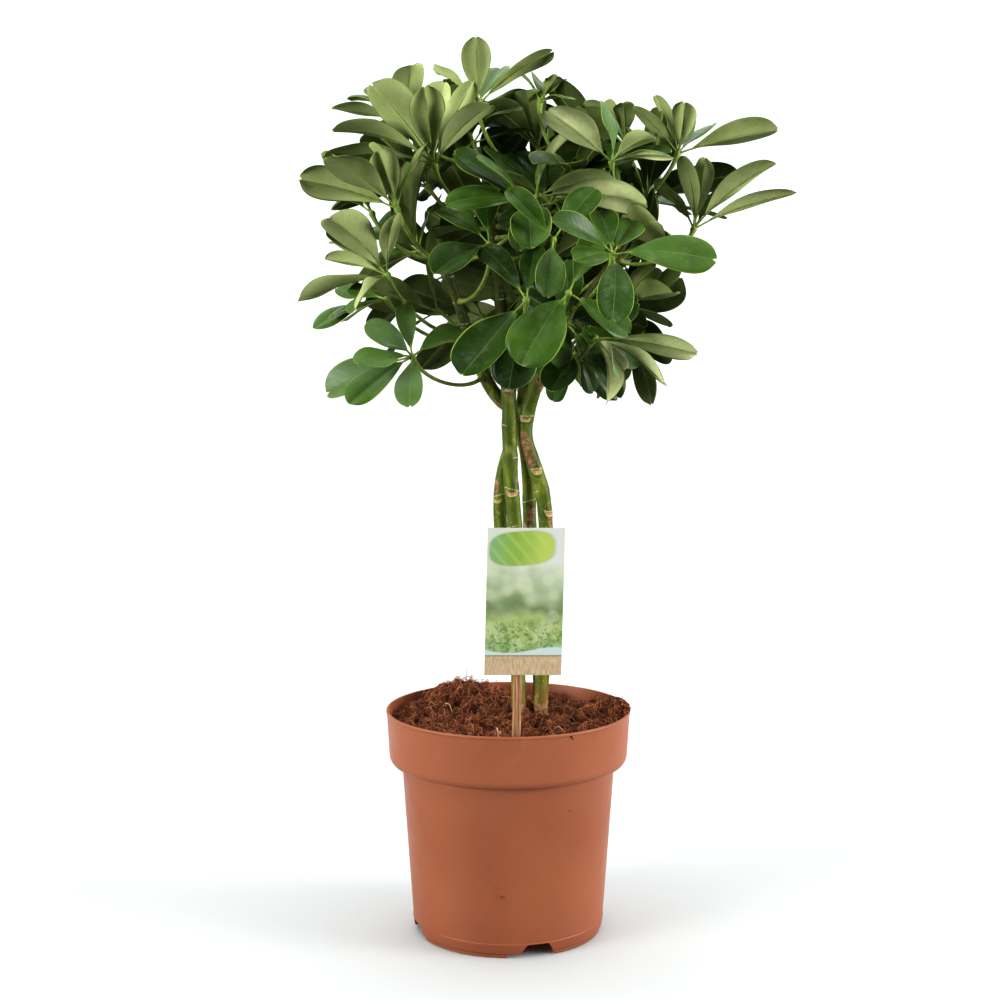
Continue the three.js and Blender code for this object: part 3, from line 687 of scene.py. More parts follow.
bark = {
    "sides": 32, "taperFrom": 430, "tipRadius": 2.3, "swell": 0.06, "seed": 17,
    # rings from one height to another, and how far apart they stand; more of them beside each joint
    "rings": [(118, 165, 4), (165, 310, 1.6), (310, 450, 0.9), (450, 700, 2.2)],
    "besideJoint": (0, 0.4, 0.7, 1.0, 1.4, 1.9, 2.6),
    "crownFrom": 440, "crownEvery": 17.0,
    # joints: height, degrees from the front, half the arc in degrees, tilt in mm, ridge in mm
    "joints": [
        [(347, 0, 75, -2.2, 0.3), (371, 55, 45, 0.8, 0.35), (396, -50, 40, -1.5, 0.15),
         (422, 10, 60, 0.5, 0.2), (318, -30, 60, 1, 0.2), (286, 60, 70, 1, 0.25), (250, -40, 70, -1, 0.25),
         (214, 30, 70, 1, 0.2)],
        [(336, -5, 75, 1.5, 0.35), (306, 40, 60, -1, 0.25), (262, -60, 70, 1, 0.25), (222, 20, 70, 1, 0.2),
         (385, 40, 60, 1, 0.2)],
        [(403, 0, 85, 1.2, 0.5), (362, 10, 60, -1.4, 0.3), (329, 40, 55, -1.5, 0.3), (345, -70, 50, 1, 0.2),
         (300, -20, 60, 1, 0.25), (272, 60, 70, -1, 0.25), (236, 0, 70, 1, 0.25), (205, -50, 60, 1, 0.2)],
        [(340, -20, 70, 2.0, 0.35), (312, 50, 60, -1, 0.2), (280, -30, 70, 1, 0.25), (240, 50, 70, 1, 0.25),
         (208, -20, 60, 1, 0.2)],
    ],
    # leaf scars: height, degrees from the front, half width and half height in mm
    "scars": [
        [(344.5, 0, 4.6, 2.8), (423, 12, 3.6, 2.2), (284, 70, 4, 2.4), (252, -70, 4, 2.4),
         (300, 150, 4, 2.4)],
        [(317, -18, 3.4, 3.6), (264, -50, 4, 2.2), (330, 160, 4, 2.2), (372, 100, 4, 2.2)],
        [(361, 12, 4.0, 3.0), (329, 42, 4.4, 3.4), (401, -12, 4.4, 2.6), (298, -20, 4, 2.4),
         (240, 20, 4, 2.4), (348, 170, 4, 2.6)],
        [(336.5, -30, 3.6, 2.0), (278, -30, 4, 2.4), (236, 80, 4, 2.4), (352, 140, 4, 2.4)],
    ],
    # weathered brown patches: height, degrees from the front, half height in mm, half the arc in degrees
    "scuffs": [
        [(171, 20, 8, 120), (422, 10, 5, 60)],
        [(326, 10, 9, 50), (171, 0, 9, 120), (412, -60, 9, 40)],
        [(377, -22, 17, 62), (323, 55, 9, 45), (171, -10, 9, 120), (437, 40, 14, 80)],
        [(171, 0, 8, 120), (346, -60, 8, 50)],
    ],
}


def barkMaterial():
    paint = Paint("green_bark", Specular_IOR_Level=0.16)
    height = paint.axis("Z")
    streak = paint.grain(150, 5, 0.6, stretch=(1, 1, 0.2))
    cloud, mottle = paint.grain(45, 4), paint.grain(480, 5, 0.7)
    paint.tint = paint.ramp(streak, (0.3, 0.034, 0.058, 0.004), (0.52, 0.086, 0.120, 0.008),
                            (0.75, 0.23, 0.26, 0.026))
    # olive at the foot, dull and dark where the crown shades it
    olive = paint.ramp(streak, (0.3, 0.07, 0.036, 0.007), (0.7, 0.27, 0.145, 0.032))
    paint.coat((height + cloud * 0.03).eased(0.190, 0.222, 0.9, 0.0), olive)
    paint.coat(height.eased(0.425, 0.48, 0, 0.7), (0.030, 0.036, 0.008))
    patch = paint.grain(70, 4, distortion=0.8).eased(0.56, 0.68, 0, 0.4)
    paint.coat(patch * height.eased(0.425, 0.48, 1, 0.3), (0.32, 0.32, 0.09))
    # weathered patches break up at their edges
    worn = paint.mark("scuff") + (mottle - 0.5) * 2.2
    brown = paint.ramp(paint.grain(260, 6, 0.75), (0.35, 0.06, 0.027, 0.012), (0.5, 0.20, 0.11, 0.05),
                       (0.68, 0.46, 0.31, 0.17))
    paint.coat(worn.eased(0.45, 0.75, 0, 0.9), brown)
    # a scar is a corky crescent that sags between its two horns
    x, z = paint.mark("scarAcross"), paint.mark("scarUp")
    square = x * x
    top = square * 0.95 - 0.05
    low = square * square * 1.1 - 1.0
    edge = (mottle - 0.5) * 0.7
    inside = (z + edge - top).eased(0.05, -0.15) * (z + edge - low).eased(-0.05, 0.15)
    inside = inside * square.eased(1.1, 0.8)
    cork = paint.ramp(paint.grain(520, 5, 0.7), (0.3, 0.13, 0.065, 0.028), (0.5, 0.40, 0.25, 0.12),
                      (0.7, 0.62, 0.47, 0.28))
    paint.coat(inside, cork)
    lip = abs(z - low).eased(0.24, 0.08) * square.eased(1.35, 1.05)
    paint.coat(lip * 0.7, (0.62, 0.55, 0.33))
    joint = paint.mark("joint") * mottle.eased(0.35, 0.55, 0.4, 1.0)
    paint.coat(joint.eased(0.35, 0.8, 0, 0.75), (0.54, 0.50, 0.28))
    # small pale lenticels, a little taller than wide
    lenticel = paint.dots(380, 1, (0.42, 0.47), (0.07, 0.18), (1, 1, 0.7))
    paint.coat(lenticel * 0.75, (0.50, 0.48, 0.24))
    relief = streak + lenticel * 0.9 + paint.grain(700, 4) * 0.4 + inside * -0.8
    return paint.finish(streak.eased(0.3, 0.7, 0.40, 0.60), relief, 0.6, 0.0006)


def routePoint(route, share):
    # the uniform spline that the solids were swept along
    points = [np.array(point, float) for point in route]
    place = (len(points) - 1) * share
    i = min(int(place), len(points) - 2)
    t = place - i
    second, third = points[i], points[i + 1]
    first = points[i - 1] if i > 0 else 2 * points[0] - points[1]
    fourth = points[i + 2] if i + 2 < len(points) else 2 * points[-1] - points[-2]
    out, into = (third - first) / 2, (fourth - second) / 2
    return (second + out * t + (3 * third - 3 * second - 2 * out - into) * t * t
            + (2 * second - 2 * third + out + into) * t**3)


def stemRadius(stem, height):
    top = stem["route"][-1][2]
    share = min(max((height - bark["taperFrom"]) / (top - bark["taperFrom"]), 0), 1)
    return stem["radius"] + (bark["tipRadius"] - stem["radius"]) * share


def stemShares(stem, joints):
    # shares of the route at which the bark gets a ring
    shares = np.linspace(0, 1, 3000)
    heights = np.array([routePoint(stem["route"], share)[2] for share in shares])
    top = heights[-1]
    wanted = [np.arange(low, min(high, top), step) for low, high, step in bark["rings"]]
    beside = np.array(bark["besideJoint"])
    for joint in joints:
        wanted += [joint[0] - beside, joint[0] + beside]
    wanted = np.unique(np.round(np.concatenate(wanted + [[top]]), 2))
    wanted = wanted[np.concatenate([[True], np.diff(wanted) > 0.2])]
    return np.interp(wanted, heights, shares)


def degreesOff(angles, facing):
    return (np.degrees(angles) - facing + 180) % 360 - 180


def barkLump(s, angle, height, reach, pitch):
    place = (math.cos(angle) * reach + s * 5, math.sin(angle) * reach, height * pitch)
    return noise.noise(Vector(place))


def stemRing(s, height, joints, angles):
    # the radii of one ring, and where joints, scuffs and scars lie on it
    base = stemRadius(stems[s], height)
    row = np.array([base + (0.35 * barkLump(s, a, height, 0.9, 0.05) + 0.12 * barkLump(s, a, height, 3, 0.3))
                    for a in angles])
    joint, scuff = np.zeros((2, len(angles)))
    for at, facing, arc, tilt, ridge in joints:
        row += bark["swell"] * base * math.exp(-((height - at) / 5) ** 2)
        off = degreesOff(angles, facing)
        reach = height - at - tilt * np.sin(np.radians(off))
        line = np.exp(-((reach / 0.6) ** 2)) * np.clip((arc - np.abs(off)) / 14, 0, 1)
        joint = np.maximum(joint, line)
        row += ridge * line
    for at, facing, halfHeight, arc in bark["scuffs"][s]:
        near = ((height - at) / halfHeight) ** 2 + (degreesOff(angles, facing) / arc) ** 2
        scuff = np.maximum(scuff, np.clip(1.3 - near, 0, 1))
    scarAcross, scarUp = np.full((2, len(angles)), 9.0)
    for at, facing, halfWidth, halfHeight in bark["scars"][s]:
        across = np.radians(degreesOff(angles, facing)) * base / halfWidth
        up = (height - at) / halfHeight
        near = (np.abs(across) < 2) & (abs(up) < 2.4)
        scarAcross = np.where(near, across, scarAcross)
        scarUp = np.where(near, up, scarUp)
        row += 0.3 * np.where(near, np.exp(-across**4 - (up + 0.5) ** 4), 0)
    return row, {"joint": joint, "scuff": scuff, "scarAcross": scarAcross, "scarUp": scarUp}


def makeStems():
    material = barkMaterial()
    draw = np.random.RandomState(bark["seed"])
    angles = evenAngles(bark["sides"])
    for s, stem in enumerate(stems):
        # the crown's joints are hidden among the leaves and fall at random
        hidden = np.arange(bark["crownFrom"], stem["route"][-1][2] - 6, bark["crownEvery"])
        joints = bark["joints"][s] + [(height, draw.uniform(-180, 180), 100, draw.uniform(-1, 1), 0.2)
                                      for height in hidden]
        path = np.array([routePoint(stem["route"], share) for share in stemShares(stem, joints)])
        rings = [stemRing(s, point[2], joints, angles) for point in path]
        radii = np.array([row for row, found in rings])
        marks = {key: np.concatenate([found[key] for row, found in rings]) for key in rings[0][1]}
        shells = newShells(*marks)
        addShell(shells, *tubeShell(path, radii, bark["sides"]), **marks)
        makePiece(f"stem_bark_{s + 1}", shells, [material], "bark", f"stem_{s + 1}")


makeStems()
print("stems grown")


# care card on its stick
card = {
    "width": 56.5, "height": 109, "thick": 0.8, "corner": 1.5, "at": (9.6, -74, 216.5),
    "lean": 0.047, "plumbAt": 190, "columns": 28, "rows": 44,
}
stick = {
    "width": 6.6, "thick": 2.6, "bottom": 100, "top": 312, "centre": (6.1, -72.35),
    # left half of the grooved face: x and depth, after the outer corner
    "grooves": [(-1.75, 0.0), (-1.45, 0.38), (-1.05, 0.38), (-0.75, 0.0)],
}


def leaning(x, z):
    # card and stick stand a touch out of plumb
    return x + card["lean"] * card["width"] / card["height"] * (z - card["plumbAt"])


def cardMaterial():
    paint = Paint("card_print", Specular_IOR_Level=0.3, Coat_Weight=0.1)
    width, height = card["width"] * mm, card["height"] * mm
    left = card["at"][0] * mm - width / 2
    # x and z run from 0 to 1 over the card
    z = (paint.axis("Z") - card["at"][2] * mm) * (1 / height)
    x = (paint.axis("X") - left) * (1 / width) - (z + 0.24) * card["lean"]
    # soft out-of-focus greenery under a pale sky
    shade = z + (paint.grain(42, 1, distortion=0.6) - 0.5) * 0.5
    paint.tint = paint.ramp(shade, (0.20, 0.20, 0.29, 0.11), (0.34, 0.30, 0.37, 0.14),
                            (0.45, 0.13, 0.19, 0.08), (0.58, 0.27, 0.33, 0.19), (0.78, 0.45, 0.50, 0.40))
    glow = Wire(paint, paint.cells(85, "SMOOTH_F1").outputs["Distance"]).eased(0.25, 0.5, 1, 0)
    paint.coat(glow * z.eased(0.3, 0.8, 0.3, 0.45), (0.52, 0.57, 0.40))
    leafy, low = paint.grain(300, 4, 0.6, 1.2), z.eased(0.28, 0.46, 1, 0)
    paint.coat(low * leafy.eased(0.5, 0.62, 0, 0.7), (0.06, 0.13, 0.03))
    paint.coat(low * leafy.eased(0.42, 0.34, 0, 0.7), (0.46, 0.53, 0.24))
    # pale swash along the foot of the picture
    swash = z + paint.maths("SINE", x * 5.2) * 0.02
    paint.coat(swash.eased(0.165, 0.178, 0.9, 0), (0.45, 0.54, 0.54))
    # pale head with a green field whose ends are rounded
    paint.coat(z.eased(0.72, 0.78) * x.eased(0.2, 0.95, 0.55, 0.95), (0.53, 0.54, 0.51))
    slant = z - (x - 0.45) * 0.03
    sides = [paint.maths("POWER", abs((value - middle) / half), 2.9)
             for value, middle, half in ((x, 0.45, 0.42), (slant, 0.862, 0.115))]
    field = sides[0] + sides[1]
    green = paint.ramp(x + paint.grain(60, 1) * 0.4, (0.2, 0.17, 0.33, 0.17), (0.5, 0.21, 0.33, 0.06),
                       (0.95, 0.36, 0.45, 0.10))
    rays = paint.maths("SINE", (x + z * 1.7) * 34)
    green = paint.mixed(rays.eased(0.2, 0.9, 0, 0.25), green, (0.38, 0.50, 0.17))
    paint.coat(field.eased(1.0, 1.35, 0.35, 0), (0.20, 0.24, 0.16))
    paint.coat(field.eased(0.96, 1.02, 1, 0), green)
    # bare kraft strip along the foot, with the shade of the glued picture over it
    pulp = paint.grain(800, 4, stretch=(1, 1, 0.3))
    kraft = paint.ramp(pulp, (0.3, 0.33, 0.245, 0.15), (0.7, 0.50, 0.385, 0.25))
    kraft = paint.mixed(z.eased(0.12, 0.137, 0, 0.75), kraft, (0.14, 0.11, 0.06))
    paint.coat(z.eased(0.1365, 0.1375, 1, 0), kraft)
    return paint.finish(z.eased(0.136, 0.138, 0.6, 0.35), paint.grain(1500, 2), 0.05, 0.00005)


def cardBackMaterial():
    paint = Paint("card_board", Specular_IOR_Level=0.4)
    pulp = paint.grain(1200, 4, 0.6)
    paint.tint = paint.ramp(pulp, (0.3, 0.66, 0.65, 0.60), (0.7, 0.80, 0.79, 0.74))
    return paint.finish(pulp.eased(0.3, 0.7, 0.65, 0.8), pulp, 0.2, 0.00006)


def woodMaterial():
    paint = Paint("stick_wood", Specular_IOR_Level=0.35)
    streak = paint.grain(900, 5, 0.6, 0.3, (1, 1, 0.05))
    paint.tint = paint.ramp(streak, (0.28, 0.16, 0.075, 0.032), (0.5, 0.33, 0.18, 0.085),
                            (0.75, 0.52, 0.33, 0.18))
    paint.coat(paint.grain(90, 4).eased(0.5, 0.72, 0, 0.4), (0.14, 0.07, 0.035))
    return paint.finish(streak.eased(0.3, 0.7, 0.6, 0.8), streak, 0.5, 0.0003)


def cardPoint(x, z):
    # a point of the card's back, with its corners rounded and the slight bow of damp card
    width, height, corner = card["width"], card["height"], card["corner"]
    pullX = corner - min(corner, width / 2 - abs(x))
    pullZ = corner - min(corner, z, height - z)
    if pullX > 0 and pullZ > 0:
        share = min(1, math.hypot(pullX, pullZ) / max(pullX, pullZ))
        x -= math.copysign(pullX * (1 - 1 / share), x)
        z += (pullZ * (1 - 1 / share)) * (1 if z < height / 2 else -1)
    bow = 0.5 * (2 * x / width) ** 2 * (z / height - 0.2)
    return card["at"][0] + x, card["at"][1] - max(bow, 0) * 0.6, card["at"][2] + z


def makeCard():
    rows, columns = card["rows"], card["columns"]
    points = []
    for thick in (card["thick"], 0.0):
        for i in range(rows + 1):
            for j in range(columns + 1):
                x, y, z = cardPoint(card["width"] * (j / columns - 0.5), card["height"] * i / rows)
                points.append((leaning(x, z), y - thick, z))
    front, back = np.arange(len(points)).reshape(2, rows + 1, columns + 1)
    faces = gridFaces(front) + flipped(gridFaces(back))
    skins = [0] * (rows * columns) + [1] * (rows * columns)
    rim = [(0, j) for j in range(columns)] + [(i, columns) for i in range(rows)]
    rim += [(rows, j) for j in range(columns, 0, -1)] + [(i, 0) for i in range(rows, 0, -1)]
    for here, there in zip(rim, rim[1:] + rim[:1]):
        faces.append((front[there], front[here], back[here], back[there]))
        skins.append(1)
    shells = newShells()
    addShell(shells, points, faces, skins)
    piece = makePiece("care_card", shells, [cardMaterial(), cardBackMaterial()], "card_print", "label_card")
    piece.data.set_sharp_from_angle(angle=math.radians(40))


def makeStick():
    half, deep = stick["width"] / 2, stick["thick"] / 2
    x, y = stick["centre"]
    left = [(-half, 0.15), (-half + 0.4, 0.0)] + stick["grooves"]
    face = left + [(-across, depth) for across, depth in reversed(left)]
    loop = [(across, depth - deep) for across, depth in face]
    loop += [(-across, -depth) for across, depth in loop]
    heights = np.linspace(stick["bottom"], stick["top"], 70)
    points = []
    for height in heights:
        taper = 0.35 + 0.65 * min(1, (height - stick["bottom"]) / 16)
        sway = 0.12 * noise.noise(Vector((0, 0, height * 0.03)))
        points += [(leaning(x + across * taper, height), y + depth * 0.98 + sway, height)
                   for across, depth in loop]
    shells = newShells()
    addShell(shells, points, closedFaces(len(heights), len(loop)))
    piece = makePiece("grooved_stick", shells, [woodMaterial()], "stick_wood", "label_stick")
    piece.data.set_sharp_from_angle(angle=math.radians(40))


makeCard()
makeStick()
print("card and stick set")


# fronds
leaf = {
    # as the solids' own leaflets: width as a share of the length, then radians
    "width": (0.4, 0.47), "bend": (0.45, 1.05), "fold": (0.12, 0.42), "twist": (-0.16, 0.16),
    # where a solid leaflet's notch lies on its rib, and how near a corner must be to count, in mm
    "notchAt": 0.94, "match": 0.09,
    # as dressed: where the blade starts and is widest, how deep its notch may be, as shares of the length
    "bladeFrom": 0.14, "widestAt": 0.7, "notches": (0.004, 0.012, 0.028, 0.045),
    "rows": 20, "thick": 0.8, "seed": 5,
    "columns": (-1, -0.95, -0.8, -0.58, -0.34, -0.12, 0, 0.12, 0.34, 0.58, 0.8, 0.95, 1),
}
petiole = {
    "radius": 1.6, "samples": 60, "lowest": 432, "shortest": 34, "longest": 170, "deepest": 25,
    "slope": 0.55, "pull": 0.3, "sides": 10,
    # how thick the dressed stalk is along its length: share, radius
    "flare": [(0, 2.5), (0.015, 2.7), (0.04, 2.1), (0.1, 1.6), (0.5, 1.35), (0.9, 1.5), (0.96, 2.1),
              (1, 2.7)],
}
# hub, the way the upper side faces, then each leaflet's tip from the hub with its width where unusual
frontFronds = [
    ((-23, 10, 637), (0, 0.4, 0.9),
     [(-36, 40, 30), (-2, -30, 50, 0.42), (57, -12, 38, 0.3), (18, 52, 30), (-50, 20, 4), (46, 40, 6)]),
    ((-54, -45, 588), (-0.2, 0.35, 0.93),
     [(-46, -18, 53, 0.46), (-75, 0, 24), (-5, -30, 50, 0.44), (10, -6, 56), (31, -20, 53, 0.4),
      (42, -36, 36), (-82, 24, 12, 0.4)]),
    ((-77, 15, 623), (-0.3, 0.35, 0.9),
     [(-57, -6, 10, 0.48), (6, -32, 39, 0.48), (-46, 34, 22), (-30, 48, 32), (34, 46, 18)]),
    ((-80, -70, 555), (-0.3, 0.35, 0.9),
     [(-71, -6, 20), (-44, -40, 30, 0.46), (-38, 36, 34), (-11, -32, 38, 0.4), (-24, 8, 50),
      (16, 16, 52)]),
    ((-101, -30, 554), (-0.3, 0.3, 0.9),
     [(-36, 12, 44), (-26, -6, 42), (-52, 34, 14), (-20, 44, 30)]),
    ((-87, -75, 508), (-0.35, 0.42, 0.84),
     [(-35, -45, 33, 0.46), (-47, -26, 23, 0.3), (-44, 34, 20), (-46, 10, 10, 0.36),
      (8, -30, 41, 0.32), (-60, -22, -21, 0.36), (-20, -36, -26, 0.48)]),
    ((-90, -40, 491), (-0.4, -0.5, 0.76),
     [(-52, -20, -22, 0.36), (-38, -32, -21, 0.3), (-38, 28, 6, 0.36), (-30, 48, -18)]),
    ((-69, -85, 450), (-0.2, -0.76, 0.62),
     [(-33, -12, 23, 0.48), (-6, 14, 36, 0.36), (-36, -38, -9, 0.48), (-41, -28, -35, 0.42),
      (0, -34, -35, 0.44), (-58, 12, -29, 0.4), (34, 36, 16)]),
    ((12, -100, 490), (0, -0.84, 0.55),
     [(-43, -24, -54, 0.52), (-12, -8, -62, 0.5), (-30, 24, 34), (20, 30, 36)]),
    ((42, -95, 495), (0.1, -0.82, 0.56),
     [(-34, -38, -50, 0.56), (26, 10, 44), (40, 12, -30)]),
    ((31, -100, 532), (0, -0.72, 0.7),
     [(-6, -28, -42, 0.44), (-32, 12, 34), (30, 22, 34)]),
    ((72, -115, 521), (0.1, -0.76, 0.65),
     [(-45, -30, 20, 0.34), (-34, -38, -8, 0.5), (-3, -32, -46, 0.48), (68, -16, -7, 0.46),
      (-8, 34, 32), (16, 44, 24)]),
    ((12, -60, 558), (0, -0.62, 0.78),
     [(-53, -8, 32), (-36, -36, 27, 0.48), (-57, -20, -2), (3, -44, -29, 0.58), (-5, -20, -34, 0.44)]),
    ((20, -42, 565), (0.25, 0.5, 0.82),
     [(56, -20, 8, 0.5), (76, -34, -10), (30, 30, 44)]),
    ((-14, -72, 530), (-0.1, -0.7, 0.7),
     [(-38, -34, -24, 0.48), (-36, 34, 24), (-4, 30, 44)]),
    ((74, -60, 589), (0, 0.32, 0.94),
     [(-47, -46, 25, 0.44), (-8, 20, 43, 0.4), (38, -30, -3, 0.36), (25, -34, 11, 0.42),
      (35, 40, 20, 0.38)]),
    ((126, -15, 599), (0.3, 0.36, 0.88),
     [(-35, -24, 30, 0.26), (-20, -16, 37, 0.27), (1, -28, 33, 0.42), (71, -16, 11, 0.38),
      (30, 36, 21, 0.4), (9, 24, 36, 0.4)]),
    ((138, -20, 543), (0.3, 0.36, 0.88),
     [(-12, -22, 50, 0.33), (6, -14, 51, 0.28), (58, -20, 43, 0.34), (81, -6, 26, 0.24), (40, 36, 38),
      (-30, 24, 34)]),
    ((84, -30, 487), (0.4, 0.36, 0.84),
     [(20, -34, 23, 0.45), (34, -40, 8, 0.5), (24, 34, 20, 0.42), (37, 22, -19, 0.45)]),
    ((63, -60, 463), (0.45, 0.6, 0.66),
     [(71, -16, -14, 0.36), (43, -32, -34, 0.5), (10, -44, -24), (5, -26, -45, 0.44),
      (20, 20, -26, 0.42)]),
    ((50, -52, 452), (0, -0.7, 0.7),
     [(-20, -34, -28, 0.56), (-16, 4, -35, 0.54), (-50, 10, 8), (12, 6, -29, 0.5)]),
    ((24, 20, 640), (0.1, 0.25, 0.95),
     [(12, -34, 14, 0.3), (22, 8, 18, 0.28), (2, 44, 20), (22, -34, -4), (-38, 20, 16)]),
    ((89, 15, 610), (0.1, 0.3, 0.94),
     [(-4, -26, 27, 0.44), (33, 16, 7, 0.36), (-34, -24, 26), (-20, 40, 26), (-17, 10, 30, 0.4)]),
]
# how pale the leaves of each of these fronds look, from 0 to 1: partly their own colour, partly painted light
# and shade as each frond is lit
frontTonesAndLight = (
    0.50, 0.58, 0.60, 0.52, 0.44, 0.58, 0.50, 0.72, 0.14, 0.48, 0.24, 0.34, 0.30, 0.62, 0.20, 0.80, 0.54,
    0.58, 0.36, 1.00, 0.20, 0.40, 0.36,
)
crownMiddle = (24, 4)
crownSeed = 20246  # the part's own
# degrees round from the front, height, reach and tilt, and 2 where only every second leaflet grew
otherFronds = (
    (108, 478, 56, 10), (146, 476, 70, 8), (184, 474, 86, 10), (222, 478, 66, 14, 2), (258, 482, 80, 20, 2),
    (84, 518, 58, 30), (122, 520, 74, 30), (158, 506, 96, 26), (194, 522, 100, 30), (230, 510, 98, 28, 2),
    (266, 528, 92, 34),
    (104, 566, 84, 50), (140, 562, 88, 46), (176, 572, 88, 50), (212, 570, 90, 48), (250, 578, 92, 52),
    (120, 592, 56, 66), (180, 608, 50, 70), (235, 612, 62, 66),
    (24, 562, 16, 76), (38, 580, 40, 62), (196, 552, 38, 58), (240, 545, 46, 46), (70, 536, 54, 40),
    (165, 540, 30, 40), (30, 474, 38, 0), (90, 480, 38, -6), (196, 496, 44, 4), (172, 520, 34, 24),
)
ring = {"leaflets": 8, "length": 70, "spread": 10, "lift": 14, "turn": 8, "ringLift": 22}
# lift, turn and share tried in turn to bend a leaflet clear of its neighbours
nudges = (
    (0, 0, 1), (5, 0, 1), (-5, 0, 1), (0, 6, 1), (0, -6, 1), (9, 6, 0.96), (-9, 6, 0.96), (9, -6, 0.96),
    (-9, -6, 0.96), (15, 0, 0.92), (-15, 0, 0.92), (0, 14, 0.9), (0, -14, 0.9), (18, 10, 0.84),
    (-18, 10, 0.84), (18, -10, 0.84), (-18, -10, 0.84), (26, 0, 0.76), (-26, 0, 0.76), (34, 12, 0.72),
    (34, -12, 0.72), (-34, 12, 0.72), (-34, -12, 0.72), (44, 0, 0.66), (-44, 0, 0.66), (0, 22, 0.7),
    (0, -22, 0.7),
)


def turnedAbout(vector, axis, degrees):
    angle = math.radians(degrees)
    return (vector * math.cos(angle) + np.cross(axis, vector) * math.sin(angle)
            + axis * np.dot(axis, vector) * (1 - math.cos(angle)))


def drawnLeaflet(draw, tip, width=None):
    made = {"tip": tip, "width": draw.between(*leaf["width"]) if width is None else width}
    for key in ("bend", "fold", "twist"):
        made[key] = draw.between(*leaf[key])
    return made


def frontFrond(draw, hub, up, tips):
    leaflets = [drawnLeaflet(draw, np.array(tip[:3], float), *tip[3:]) for tip in tips]
    return {"hub": np.array(hub, float), "up": unit(np.array(up, float)), "leaflets": leaflets}


def otherFrond(draw, degrees, height, reach, tilt, every=1):
    angle, tilted = math.radians(degrees), math.radians(tilt)
    outward = np.array([math.sin(angle), -math.cos(angle), 0])
    upper = outward * math.cos(tilted) + np.array([0, 0, math.sin(tilted)])
    first = np.array([-outward[1], outward[0], 0])
    second = np.cross(upper, first)
    start = draw.between(0, 360)
    leaflets = []
    for i in range(ring["leaflets"]):
        turn = math.radians(start + i * 360 / ring["leaflets"] + draw.between(-ring["turn"], ring["turn"]))
        lift = math.radians(ring["ringLift"] + draw.between(-ring["lift"], ring["lift"]))
        length = ring["length"] + draw.between(-ring["spread"], ring["spread"])
        tip = first * math.cos(turn) * math.cos(lift) + second * math.sin(turn) * math.cos(lift)
        leaflets.append(drawnLeaflet(draw, (tip + upper * math.sin(lift)) * length))
    hub = np.array([*crownMiddle, height]) + outward * reach
    return {"hub": hub, "up": upper, "leaflets": leaflets[::every]}


def levelledUp(up, along):
    return unit(up - along * np.dot(up, along))


def nudged(leaflet, up, lift, turn, share):
    along = unit(leaflet["tip"])
    level = levelledUp(up, along)
    tip = turnedAbout(leaflet["tip"], np.cross(along, level), lift)
    return turnedAbout(tip, level, turn) * share


def leafletFrame(hub, tip, up, leaflet):
    # gives the rib point and the normal for any share of the length
    length, halfBend = np.linalg.norm(tip), leaflet["bend"] / 2
    along = tip / length
    level = turnedAbout(levelledUp(up, along), along, math.degrees(leaflet["twist"]))
    arc = length / (2 * math.sin(halfBend))

    def ribAt(share):
        angle = leaflet["bend"] * (0.5 - np.asarray(share))[..., None]
        rib = hub + along * arc * (math.sin(halfBend) - np.sin(angle))
        rib = rib + level * arc * (np.cos(angle) - math.cos(halfBend))
        return rib, level * np.cos(angle) - along * np.sin(angle)

    return length, np.cross(along, level), ribAt


def stalkRoutes(frond):
    # every way that a stalk could take from a stem to the hub, the likeliest first
    routes = []
    for stem in stems:
        for i in range(petiole["samples"] // 2, petiole["samples"]):
            share = i / petiole["samples"]
            start = routePoint(stem["route"], share)
            way = frond["hub"] - start
            distance = np.linalg.norm(way)
            if start[2] < petiole["lowest"] or way[2] < -petiole["deepest"]:
                continue
            if distance < petiole["shortest"] or distance > petiole["longest"]:
                continue
            tangent = unit(routePoint(stem["route"], share + 1e-4) - routePoint(stem["route"], share - 1e-4))
            radial = unit(way - tangent * np.dot(way, tangent))
            root = start + radial * (stemRadius(stem, start[2]) + soil["clearance"])
            pull = petiole["pull"] * distance
            cost = abs(way[2] - petiole["slope"] * math.hypot(way[0], way[1])) + distance / 2
            bend = (root, root + radial * pull, frond["hub"] - frond["up"] * pull, frond["hub"])
            routes.append((cost, bend))
    return [bend for cost, bend in sorted(routes, key=lambda route: route[0])]


def bezierPoint(bend, share):
    first, second, third, fourth = bend
    rest = 1 - share
    return rest**3 * first + 3 * rest**2 * share * second + 3 * rest * share**2 * third + share**3 * fourth


def startCorners(bend):
    # the three corners that a stalk's solid begins with
    start = bend[0]
    along = unit(bezierPoint(bend, 0.25) - start)
    across = levelledUp(np.array([0.0, -1.0, 0.0]), along)
    up = np.cross(along, across)
    return [start + petiole["radius"] * (across * math.cos(turn) + up * math.sin(turn))
            for turn in (0, fullTurn / 3, 2 * fullTurn / 3)]


